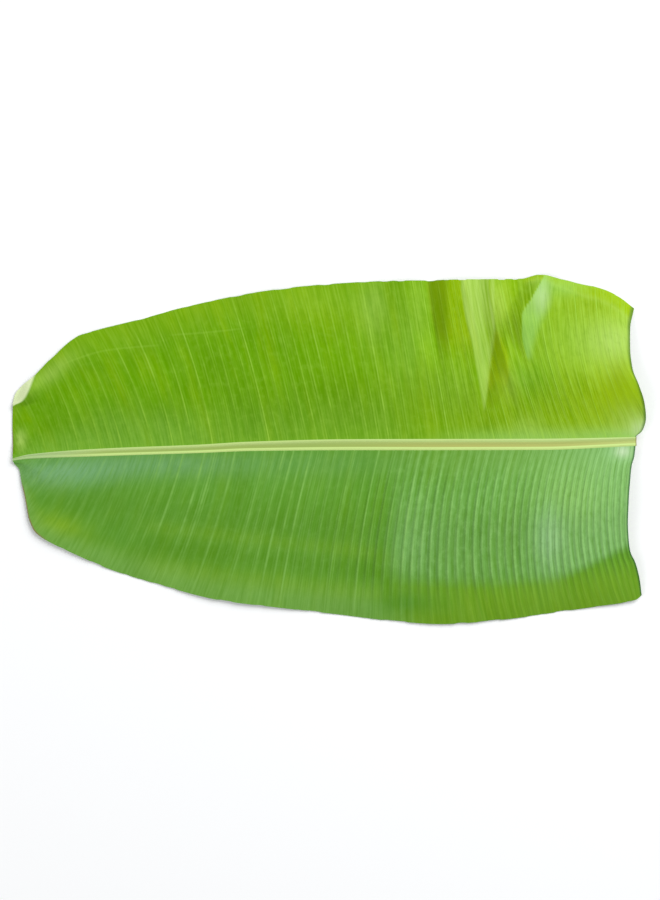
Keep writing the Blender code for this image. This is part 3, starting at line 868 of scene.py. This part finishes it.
# Each tone: how much every zone adds to it, and its patches
NEAR_TONES = {
    "yellow": {
        "outer_right": 0.3, "below_band": 0.12, "above_band": 0.12, "rib_yellow": 0.1, "lit_yellow": 0.38,
        "outer_yellow": 0.13,
    },
    # wax here is a painted sheen on the lit part and a pale tone by the margin
    "wax": {"lit": 0.25, "outer_pale": 0.2, "lit_cut": 0.45},
    "deep": {"band": 0.45},
    "cool": {},
    "bloom": {},
    "brown": {"tip_corner": 1.0},
    "plain": {"dark_margin": 0.9, "tip_half": 0.6, "outer_plain": 0.35, "rib_plain": 0.5},
    "streaky": {"everywhere": 0.16, "dark_margin": -0.08},
    "ridged": {"right": 1.0},
}
NEAR_PATCHES = {
    "yellow": ((0.35, (-228.0, -64.0), (22.0, 10.0), -15.0), (-0.25, (68.0, -131.0), (30.0, 10.0))),
    "wax": (
        (0.12, (-226.0, -20.0), (46.0, 12.0)), (0.04, (-20.0, -12.0), (140.0, 12.0)),
        (0.8, (251.0, -3.0), (12.0, 7.0)), (0.2, (70.0, -82.0), (18.0, 24.0)),
        (0.45, (187.0, -72.0), (14.0, 28.0)), (-0.12, (68.0, -131.0), (30.0, 10.0)),
    ),
    "deep": (
        (0.35, (-40.0, -60.0), (110.0, 24.0)), (0.35, (68.0, -131.0), (30.0, 10.0)),
        (0.5, (156.0, -62.0), (11.0, 26.0)),
    ),
    # cool patches: a bluish painted sheen below the midrib and on the lit part
    "cool": (
        (0.5, (-226.0, -20.0), (44.0, 12.0)), (0.35, (-150.0, -13.0), (70.0, 11.0)),
        (0.1, (-20.0, -12.0), (100.0, 12.0)), (0.2, (187.0, -78.0), (12.0, 24.0)),
    ),
    # bloom patches: painted highlights beside the cut and on the lit part
    "bloom": ((0.75, (250.5, -1.5), (6.5, 5.0)), (0.12, (189.0, -76.0), (11.0, 22.0))),
}


def near_tones(x, y, foot, reach, margin_gap):
    """The near half: a painted sheen below the midrib, and a lit part with a painted sheen that ends
    short of the margin. It is given the same values as the far half, so that one call serves both."""
    softness = LIT_SOFTNESS[0] + (LIT_SOFTNESS[1] - LIT_SOFTNESS[0]) * change(x, *LIT_SHARPENS)
    above = ease((y - smooth_table(LIT_EDGE, x)[0]) / softness + 0.5)
    band_gap = y - smooth_table(DARK_BAND, x)[0]
    known = {
        "x": x, "y": y, "reach": reach, "everywhere": np.ones_like(x), "above": above,
        "below": 1.0 - above, "lit_patch": patch(x, y, *LIT_PATCH),
    }
    known.update({name: stripe(band_gap, *rest) for name, rest in BAND_STRIPES.items()})
    add_zones(NEAR_STARTS, known)
    lit = known["lit_start"] * (LIT_AT_RIB + (1.0 - LIT_AT_RIB) * known["lit_off_rib"])
    lit = lit + known["lit_full"] * (above - lit)
    known.update({"lit": lit, "unlit": 1.0 - lit, "left": 1.0 - known["right"]})
    add_zones(NEAR_ZONES, known)
    return add_up(NEAR_TONES, NEAR_PATCHES, known)


near_blade = make_blade("near_blade", False)
print("near half's tones:", ", ".join(NEAR_TONES))

# %% [markdown]
# The midrib is lofted from one closed section that changes along it: two raised borders with a
# channel between them above, and a rounded keel below that is flat where it rests. Its ends are
# closed with a fan of faces. It overlaps the blades' inner edges, as the real tissue does.

# %% Midrib
MIDRIB_STATIONS = 360
TOP_POINTS, KEEL_POINTS = 31, 21
CHANNEL_WALL = 0.55
KEEL_FLAT, KEEL_SHARPNESS = 0.25, 1.3
STUMP = 0.8

# Channel between the borders: foot, centre and half width as shares of the half width, tone
CHANNEL = (
    (-270.0, 0.0, 0.22, 0.1), (-235.0, 0.0, 0.28, 0.5), (-180.0, 0.0, 0.32, 0.9),
    (-67.0, 0.0, 0.4, 1.0), (18.0, 0.05, 0.46, 1.0), (104.0, 0.0, 0.44, 1.0), (181.0, 0.0, 0.44, 0.95),
    (232.0, 0.06, 0.44, 0.8), (261.5, 0.1, 0.46, 0.65),
)


def midrib_section(foot):
    """Closed section at each foot: across, height, on top, depth into the channel, and its tone."""
    centre, half, tone = (column[:, None] for column in smooth_table(CHANNEL, foot))
    depth = keel_depth(foot)[:, None]
    across = np.sin(np.linspace(-math.pi / 2, math.pi / 2, TOP_POINTS))[None, :]
    into = half - np.abs(across - centre)
    edge = np.where(across > centre, 1.0 - centre, 1.0 + centre)
    over_border = np.clip(-into / (edge - half), 0.0, 1.0)
    border = BORDER_RISE * np.sin(math.pi * over_border)
    channel = CHANNEL_DEPTH * depth / KEEL_DEPTH_AT_CUT * ease(into / CHANNEL_WALL)
    top = depth + BLADE_THICKNESS + border - channel
    low = np.sin(np.linspace(math.pi / 2, -math.pi / 2, KEEL_POINTS + 2)[1:-1])[None, :]
    keel = depth * ease((np.abs(low) - KEEL_FLAT) / (1.0 - KEEL_FLAT)) ** KEEL_SHARPNESS
    across = np.hstack([np.repeat(across, len(foot), 0), np.repeat(low, len(foot), 0)])
    on_top = np.hstack([np.ones_like(top), np.zeros_like(keel)])
    into = np.hstack([into, np.full_like(keel, -1.0)])
    return across, np.hstack([top, keel]), on_top, into, np.repeat(tone, across.shape[1], 1)


def make_midrib():
    """The midrib: rings of points along it, a skin over them, and a fan of faces at each end."""
    foot = np.linspace(TIP_X, CUT_X + STUMP, MIDRIB_STATIONS)
    centre, half_width = smooth_table(MIDRIB, foot)
    across, heights, on_top, into, tone = midrib_section(foot)
    y = centre[:, None] + across * half_width[:, None]
    x = np.repeat(foot[:, None], across.shape[1], 1)
    points = np.stack([x, y, heights], axis=-1).reshape(-1, 3)
    stations, around = across.shape
    index = np.arange(stations * around).reshape(stations, around)
    after = np.roll(index, -1, axis=1)
    sides = np.stack([index[:-1], index[1:], after[1:], after[:-1]], axis=-1).reshape(-1, 4)
    ends = [[foot[end], centre[end], heights[end].mean()] for end in (0, -1)]
    points = np.vstack([points, ends])
    tip, cut = stations * around, stations * around + 1
    caps = [[tip, int(first), int(second)] for first, second in zip(index[0], after[0])]
    caps += [[cut, int(second), int(first)] for first, second in zip(index[-1], after[-1])]
    values = {
        "along": np.append(((x - TIP_X) / (CUT_X - TIP_X)).ravel(), [0.0, 1.0]),
        "across": np.append(across.ravel(), [0.0, 0.0]),
        "upper": np.append(on_top.ravel(), [0.5, 0.5]),
        "into_channel": np.append((into * half_width[:, None]).ravel(), [-1.0, -1.0]),
        "channel_tone": np.append(tone.ravel(), [0.0, 0.0]),
        "cut_gap": np.append((CUT_X - x).ravel(), [CUT_X - TIP_X, 0.0]),
    }
    return mesh_piece("midrib", points, sides.tolist() + caps, values)


midrib = make_midrib()

# %% [markdown]
# Colours are read from the photograph as screen values, so a small helper turns them into the
# linear values that a shader wants. Another helper adds a node, sets its inputs and links them
# in one call, which keeps each material short enough to read.

# %% Colour and node helpers
LIGHT_LEVEL = 1.2
SHEEN_LEVEL = 0.005
DARKEST = 0.0008


def screen(red, green, blue):
    """Base colour that shows as this screen colour, 0 to 255, where the leaf lies flat."""
    values = [value / 255.0 for value in (red, green, blue)]
    linear = [value / 12.92 if value <= 0.04045 else ((value + 0.055) / 1.055) ** 2.4 for value in values]
    return (*(max(DARKEST, (value - SHEEN_LEVEL) / LIGHT_LEVEL) for value in linear), 1.0)


def set_input(tree, socket, value):
    """Links an input to another node's output, or sets its value."""
    if isinstance(value, bpy.types.NodeSocket):
        tree.links.new(value, socket)
    else:
        socket.default_value = value


def add_node(tree, kind, inputs=None, **settings):
    """A new node with its settings, and each input either linked or set."""
    node = tree.nodes.new(kind)
    for key, value in settings.items():
        setattr(node, key, value)
    for key, value in (inputs or {}).items():
        set_input(tree, node.inputs[key], value)
    return node


def maths(tree, operation, first, second=0.0, clamp=False):
    """The result of one sum."""
    node = add_node(tree, "ShaderNodeMath", {0: first, 1: second}, operation=operation, use_clamp=clamp)
    return node.outputs[0]


def ramp(tree, value, start, end, low=0.0, high=1.0):
    """A smooth change from low to high while the value goes from start to end."""
    node = add_node(
        tree, "ShaderNodeMapRange",
        {"Value": value, "From Min": start, "From Max": end, "To Min": low, "To Max": high},
        interpolation_type="SMOOTHSTEP")
    return node.outputs["Result"]


def blend_colour(tree, factor, first, second):
    """The first colour where the factor is 0 and the second where it is 1."""
    node = add_node(tree, "ShaderNodeMix", data_type="RGBA")
    set_input(tree, node.inputs["Factor"], factor)
    first_socket, second_socket = (socket for socket in node.inputs if socket.type == "RGBA")
    set_input(tree, first_socket, first)
    set_input(tree, second_socket, second)
    return [socket for socket in node.outputs if socket.type == "RGBA"][0]


def point_value(tree, name):
    """One of the values stored on the mesh's points."""
    node = add_node(tree, "ShaderNodeAttribute", attribute_name=name, attribute_type="GEOMETRY")
    return node.outputs["Fac"]


print("middle grey as a base colour:", [round(value, 3) for value in screen(128, 128, 128)])

# %% [markdown]
# Both halves show the same grain: a pale line on each lateral vein, stronger on some veins than
# on others and broken along its length, finer lines between them, long streaks, broad bands and
# small flecks. It is built once as a node group that reads the vein number and the reach, so it
# turns with the veins wherever they lean, and each half gives it its own values.

# %% The grain of the veins, as a node group
GRAIN_INPUTS = {"Vein": 0.0, "Reach": 0.0, "Line Width": 0.12, "Breaks": 0.5, "Weakest": 0.25}
GRAIN_OUTPUTS = ("Line", "Fine", "Trough", "Streak", "Band", "Fleck", "Relief")

# Noises drawn out along the veins: changes across a vein's spacing, changes along it, detail
GAP_NOISE, FINE_NOISE = (3.7, 5.0, 3.0), (1.9, 7.0, 2.0)
STREAK_NOISE, BAND_NOISE, FLECK_NOISE = (5.0, 4.0, 4.0), (0.45, 1.2, 3.0), (1.6, 20.0, 2.0)
NOISE_ROUGHNESS = 0.6

# Where a noise starts to tell and where it tells fully
STRONG_VEINS, GAPS, TROUGHS = (0.2, 1.0), (0.35, 0.65), (0.25, 0.5)
FINE_LINE_WIDTH, FINE_STRENGTHS = 0.25, (0.1, 0.9)
LINE_RELIEF, STREAK_RELIEF = 0.5, 0.9


def make_grain_group():
    """Reads the vein number and the reach; gives masks for every mark that follows the veins."""
    group = bpy.data.node_groups.new("leaf_grain", "ShaderNodeTree")
    for name, default in GRAIN_INPUTS.items():
        socket = group.interface.new_socket(name, in_out="INPUT", socket_type="NodeSocketFloat")
        socket.default_value = default
    for name in GRAIN_OUTPUTS:
        group.interface.new_socket(name, in_out="OUTPUT", socket_type="NodeSocketFloat")
    given = group.nodes.new("NodeGroupInput").outputs
    results = group.nodes.new("NodeGroupOutput").inputs
    vein, reach = given["Vein"], given["Reach"]

    def times(first, second):
        return maths(group, "MULTIPLY", first, second)

    def own_value(number, low, high):
        """A random strength for each whole number, low for most and high for a few."""
        noise = add_node(group, "ShaderNodeTexWhiteNoise", {"W": number}, noise_dimensions="1D")
        return ramp(group, noise.outputs["Value"], *STRONG_VEINS, low, high)

    def drawn_noise(number, across, along, detail):
        """Noise drawn out along the veins."""
        sizes = {"X": times(number, across), "Y": times(reach, along)}
        place = add_node(group, "ShaderNodeCombineXYZ", sizes)
        noise = add_node(group, "ShaderNodeTexNoise", {
            "Vector": place.outputs[0], "Scale": 1.0, "Detail": detail, "Roughness": NOISE_ROUGHNESS})
        return noise.outputs["Fac"]

    nearest = maths(group, "ROUND", vein)
    off_vein = maths(group, "PINGPONG", vein, 0.5)
    shape = ramp(group, off_vein, 0.0, given["Line Width"], 1.0, 0.0)
    gaps = ramp(group, drawn_noise(nearest, *GAP_NOISE), *GAPS)
    gaps = times(maths(group, "SUBTRACT", 1.0, gaps), given["Breaks"])
    line = times(shape, own_value(nearest, given["Weakest"], 1.0))
    line = times(line, maths(group, "SUBTRACT", 1.0, gaps))

    half_way = maths(group, "ADD", times(vein, 2.0), 0.5)
    fine = ramp(group, maths(group, "PINGPONG", half_way, 0.5), 0.0, FINE_LINE_WIDTH, 1.0, 0.0)
    fine = times(fine, own_value(maths(group, "ROUND", half_way), *FINE_STRENGTHS))
    fine = times(fine, drawn_noise(half_way, *FINE_NOISE))

    streak = drawn_noise(vein, *STREAK_NOISE)
    marks = {
        "Line": line, "Fine": fine, "Trough": ramp(group, off_vein, *TROUGHS), "Streak": streak,
        "Band": drawn_noise(vein, *BAND_NOISE), "Fleck": drawn_noise(vein, *FLECK_NOISE),
        "Relief": maths(group, "ADD", times(line, LINE_RELIEF), times(streak, STREAK_RELIEF)),
    }
    for name, value in marks.items():
        group.links.new(value, results[name])
    return group


grain_group = make_grain_group()
print("grain group nodes:", len(grain_group.nodes))

# %% [markdown]
# The blade's upper side is a satin green with a thin waxy skin. Each half has its own look: its
# greens, how wide and strong its vein lines are, and how wide and strong the painted shade along the
# cut edge is. Where a setting is a pair, it goes from the flat part to the ridged part of the near half.

# %% Blade colours
# OLIVE_GREEN is an olive tone that is also used as painted shade on the folds
YELLOW_GREEN, DEEP_GREEN, OLIVE_GREEN = screen(160, 198, 2), screen(88, 144, 10), screen(118, 140, 0)
# HIGHLIGHT_PALE is the near-white paint of the painted highlights
HIGHLIGHT_PALE, CURL_PALE, RIDGE_VEIN = screen(226, 248, 208), screen(240, 255, 198), screen(164, 218, 126)
# CUT_EDGE_SHADE is the paint of the painted shade along the cut edge
MARGIN_BROWN, CUT_EDGE_SHADE = screen(150, 122, 92), screen(40, 84, 52)
UNDER_GREEN, UNDER_VEIN = screen(150, 186, 112), screen(176, 204, 136)

FAR_LOOK = {
    "green": screen(111, 172, 20), "wax": screen(188, 224, 112), "cool": screen(150, 204, 100),
    "vein": screen(168, 216, 80), "sheen": (0.75, 1.0, 0.12, 1.0),
    "first_vein": 0.0, "line_width": 0.12, "weakest": 0.4, "breaks": 0.7, "line_strength": 0.85,
    "pale_bands": 0.35, "flecks": 0.12, "cut_width": 1.6, "cut_strength": 0.6,
}
NEAR_LOOK = {
    "green": screen(102, 163, 56), "wax": screen(152, 206, 130), "cool": screen(130, 180, 142),
    "vein": screen(154, 208, 106), "sheen": (0.8, 1.0, 0.8, 1.0),
    "first_vein": 200.0, "line_width": (0.19, 0.26), "weakest": (0.25, 0.55), "breaks": 0.6,
    "line_strength": 0.68, "pale_bands": 0.1, "flecks": (0.08, 0.24),
    "cut_width": 2.4, "cut_strength": 0.75,
}

# How strongly a mark is painted where it tells fully
# TROUGH_SHADE paints a deeper green into the troughs between the near half's ridges: painted shade
MOTTLING, DARK_BANDS, DARK_STREAKS, FINE_LINES, TROUGH_SHADE = 0.35, 0.4, 0.14, 0.5, 0.22
CREASE_LINES, BROWN_MARGIN, UNDER_LINES, UNDER_STREAKS = 0.18, 0.8, 0.9, 0.4
LINES_ON_RIDGES = 0.8

# Where a noise or a gap in millimetres starts to tell and where it tells fully
MOTTLE_RANGE, UNEVEN_RANGE, UNEVENNESS = (0.3, 0.7), (0.3, 0.7), (0.75, 1.25)
PALE_BAND_RANGE, DARK_BAND_RANGE = (0.45, 0.75), (0.5, 0.25)
PALE_STREAK_RANGE, DARK_STREAK_RANGE = (0.4, 0.75), (0.5, 0.3)
PALE_FLECK_RANGE, DARK_FLECK_RANGE = (0.5, 0.7), (0.5, 0.3)
CREASE_RANGE, CURL_RANGE, MARGIN_RANGE, CUT_FROM = (1.4, 0.2), (-1.0, 2.5), (2.0, 0.4), 0.3

MOTTLE_NOISE = {"Scale": 26.0, "Detail": 4.0, "Roughness": 0.55}
UPPER_ROUGHNESS, UNDER_DULLNESS, BLADE_SHINE = (0.36, 0.46), 0.22, 0.06
GRAIN_BUMP = {"Strength": 0.5, "Distance": 0.00025}
print("far green as a base colour:", [round(value, 4) for value in FAR_LOOK["green"]])

# %% [markdown]
# The colour starts from the half's green and takes one coat of paint after another, each with a
# mask: mottling and bands first, then the tones from the points, which hold painted sheen, painted
# highlights and painted shade besides real tones, then streaks, lines, the painted shade in the troughs
# and flecks, and last the creases, the curl, the dried brown margin and the painted shade along the cut
# edge. One loop lays the coats, so their order can be read from the list. The underside is paler and
# duller, with a thicker waxy skin.

# %% Blade material
def make_blade_material(name, look, far):
    """Material of one half; the far one also has creases, the curl and an olive coat that is partly painted
    shade on its folds.
    """
    material = bpy.data.materials.new(name)
    material.use_nodes = True
    tree = material.node_tree
    shader = tree.nodes["Principled BSDF"]

    def point(value_name):
        return point_value(tree, value_name)

    def times(first, second):
        return maths(tree, "MULTIPLY", first, second)

    def by_ridges(setting):
        """A setting, or for a pair a change from the flat part to the ridged part."""
        return ramp(tree, point("ridged"), 0.0, 1.0, *setting) if isinstance(setting, tuple) else setting

    def coated(base, coats):
        """The base with coats over it, each a paint, its mask and its strength."""
        for paint, mask, strength in coats:
            base = blend_colour(tree, maths(tree, "MULTIPLY", mask, strength, clamp=True), base, paint)
        return base

    grain = add_node(tree, "ShaderNodeGroup", {
        "Vein": maths(tree, "ADD", point("vein"), look["first_vein"]), "Reach": point("reach"),
        "Line Width": by_ridges(look["line_width"]), "Weakest": by_ridges(look["weakest"]),
        "Breaks": look["breaks"]}, node_tree=grain_group).outputs
    place = add_node(tree, "ShaderNodeTexCoord").outputs["Object"]
    mottle = add_node(tree, "ShaderNodeTexNoise", {"Vector": place, **MOTTLE_NOISE})
    mottle = ramp(tree, mottle.outputs["Fac"], *MOTTLE_RANGE)
    uneven = ramp(tree, grain["Streak"], *UNEVEN_RANGE, *UNEVENNESS)
    streaks = ramp(tree, grain["Streak"], *PALE_STREAK_RANGE)
    lined = maths(tree, "SUBTRACT", 1.0, point("plain"), clamp=True)
    drawn = lined if far else times(lined, by_ridges((1.0, LINES_ON_RIDGES)))
    flecks = times(by_ridges(look["flecks"]), drawn)
    # On the ridges the vein lines are wider and in RIDGE_VEIN: pale vein colour, and partly a painted
    # highlight on each ridge's crest
    vein_colour = look["vein"] if far else blend_colour(tree, point("ridged"), look["vein"], RIDGE_VEIN)

    coats = [
        (DEEP_GREEN, mottle, MOTTLING),
        (YELLOW_GREEN, ramp(tree, grain["Band"], *PALE_BAND_RANGE), look["pale_bands"]),
        (DEEP_GREEN, ramp(tree, grain["Band"], *DARK_BAND_RANGE), DARK_BANDS),
        (DEEP_GREEN, point("deep"), 1.0),
        (YELLOW_GREEN, times(point("yellow"), uneven), 1.0),
        # wax: mostly a painted sheen, in the pale paint of each half's look
        (look["wax"], times(point("wax"), uneven), 1.0),
        # cool: mostly a painted sheen in a bluer green
        (look["cool"], times(point("cool"), uneven), 1.0),
    ]
    if far:
        # olive: painted shade on the folds' dark flank and wedge, and an olive tone near the cut
        coats.append((OLIVE_GREEN, times(point("olive"), uneven), 1.0))
    coats += [
        # bloom: painted highlights
        (HIGHLIGHT_PALE, times(point("bloom"), uneven), 1.0),
        (DEEP_GREEN, ramp(tree, grain["Streak"], *DARK_STREAK_RANGE), DARK_STREAKS),
        (vein_colour, streaks, point("streaky")),
        (vein_colour, times(grain["Fine"], lined), FINE_LINES),
    ]
    if not far:
        # painted shade in the troughs between the ridges
        coats.append((DEEP_GREEN, times(grain["Trough"], point("ridged")), TROUGH_SHADE))
    coats += [
        (vein_colour, times(grain["Line"], drawn), look["line_strength"]),
        (DEEP_GREEN, ramp(tree, grain["Fleck"], *DARK_FLECK_RANGE), flecks),
        (vein_colour, ramp(tree, grain["Fleck"], *PALE_FLECK_RANGE), flecks),
    ]
    if far:
        crease = ramp(tree, maths(tree, "ABSOLUTE", point("crease_gap")), *CREASE_RANGE)
        coats += [
            (vein_colour, times(crease, point("crease")), CREASE_LINES),
            (CURL_PALE, ramp(tree, point("curl_gap"), *CURL_RANGE), 1.0),
        ]
    margin = ramp(tree, point("margin_gap"), *MARGIN_RANGE)
    cut = ramp(tree, point("cut_gap"), look["cut_width"], CUT_FROM, 0.0, look["cut_strength"])
    # the margin gets its dried brown, the cut edge a painted shade
    coats += [(MARGIN_BROWN, times(margin, point("brown")), BROWN_MARGIN), (CUT_EDGE_SHADE, cut, 1.0)]

    over = coated(look["green"], coats)
    under = coated(UNDER_GREEN, [
        (UNDER_VEIN, grain["Line"], UNDER_LINES), (UNDER_VEIN, streaks, UNDER_STREAKS)])
    upper = point("upper")
    dull = ramp(tree, upper, 0.0, 1.0, UNDER_DULLNESS, 0.0)
    rough = maths(tree, "ADD", ramp(tree, mottle, 0.0, 1.0, *UPPER_ROUGHNESS), dull)
    bump = add_node(tree, "ShaderNodeBump", {"Height": grain["Relief"], **GRAIN_BUMP})
    tree.links.new(blend_colour(tree, upper, under, over), shader.inputs["Base Color"])
    tree.links.new(rough, shader.inputs["Roughness"])
    tree.links.new(bump.outputs["Normal"], shader.inputs["Normal"])
    shader.inputs["Specular IOR Level"].default_value = BLADE_SHINE
    shader.inputs["Specular Tint"].default_value = look["sheen"]
    print(name, "coats of paint:", len(coats), "nodes:", len(tree.nodes))
    return material


far_blade.data.materials.append(make_blade_material("far_green", FAR_LOOK, True))
near_blade.data.materials.append(make_blade_material("near_green", NEAR_LOOK, False))

# %% [markdown]
# The midrib is pale: two yellow-green borders, the lower one in the picture crisp and bright,
# and a channel between them that goes from green to olive along the leaf and fades out towards
# the tip. Below, the keel is a plain pale green. The cut end shows its drying tissue, which is
# brown. Long fibres run through all of it, as one noise stretched along the midrib.

# %% Midrib material
UPPER_BORDER, LOWER_BORDER = screen(200, 226, 138), screen(212, 240, 144)
CHANNEL_GREEN, CHANNEL_OLIVE, TIP_PALE = screen(162, 188, 94), screen(186, 190, 102), screen(182, 212, 142)
KEEL_GREEN, CUT_BROWN = screen(164, 196, 110), screen(150, 128, 88)

# Changes across the midrib, into the channel in millimetres, and along it, from its tip
BORDER_RANGE, CHANNEL_RANGE, CHANNEL_SIDE = (-0.5, 0.1), (-0.5, 0.5), (-0.2, 0.45, 1.0, 0.6)
OLIVE_RANGE, TIP_RANGE, KEEL_RANGE = (0.45, 0.75), (0.16, 0.02), (0.2, 0.8)
BROWN_RANGE = (0.6, -0.6, 0.0, 0.7)
FIBRE_STRETCH = (25.0, 900.0, 25.0)
FIBRE_NOISE = {"Scale": 1.0, "Detail": 4.0}
FIBRE_TINT, FIBRE_ROUGHNESS = (0.45, 0.8, 0.0, 0.25), (0.3, 0.7, 0.4, 0.52)
FIBRE_BUMP = {"Strength": 0.3, "Distance": 0.0002}
MIDRIB_SHINE = 0.25


def make_midrib_material():
    """Pale fibres, darker in the channel and brown at the cut."""
    material = bpy.data.materials.new("midrib_pale")
    material.use_nodes = True
    tree = material.node_tree
    shader = tree.nodes["Principled BSDF"]

    def point_ramp(value_name, settings):
        return ramp(tree, point_value(tree, value_name), *settings)

    place = add_node(tree, "ShaderNodeTexCoord").outputs["Object"]
    stretched = add_node(tree, "ShaderNodeMapping", {"Vector": place, "Scale": FIBRE_STRETCH})
    fibre = add_node(tree, "ShaderNodeTexNoise", {"Vector": stretched.outputs[0], **FIBRE_NOISE})
    fibre = fibre.outputs["Fac"]
    channel = point_ramp("into_channel", CHANNEL_RANGE)
    channel = maths(tree, "MULTIPLY", channel, point_value(tree, "channel_tone"))
    channel = maths(tree, "MULTIPLY", channel, point_ramp("across", CHANNEL_SIDE))
    channel_colour = blend_colour(tree, point_ramp("along", OLIVE_RANGE), CHANNEL_GREEN, CHANNEL_OLIVE)
    colour = blend_colour(tree, point_ramp("across", BORDER_RANGE), LOWER_BORDER, UPPER_BORDER)
    colour = blend_colour(tree, channel, colour, channel_colour)
    colour = blend_colour(tree, point_ramp("along", TIP_RANGE), colour, TIP_PALE)
    colour = blend_colour(tree, ramp(tree, fibre, *FIBRE_TINT), colour, CHANNEL_OLIVE)
    colour = blend_colour(tree, point_ramp("upper", KEEL_RANGE), KEEL_GREEN, colour)
    colour = blend_colour(tree, point_ramp("cut_gap", BROWN_RANGE), colour, CUT_BROWN)
    bump = add_node(tree, "ShaderNodeBump", {"Height": fibre, **FIBRE_BUMP})
    tree.links.new(colour, shader.inputs["Base Color"])
    tree.links.new(ramp(tree, fibre, *FIBRE_ROUGHNESS), shader.inputs["Roughness"])
    tree.links.new(bump.outputs["Normal"], shader.inputs["Normal"])
    shader.inputs["Specular IOR Level"].default_value = MIDRIB_SHINE
    print("midrib nodes:", len(tree.nodes))
    return material


midrib.data.materials.append(make_midrib_material())

# %% [markdown]
# The three pieces stand for the one solid. A leaf has no joint, so they all ride on the frame's
# single body.

# %% Tie the pieces to the frame
for piece in (far_blade, near_blade, midrib):
    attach(piece, "root")
    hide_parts("banana_leaf")
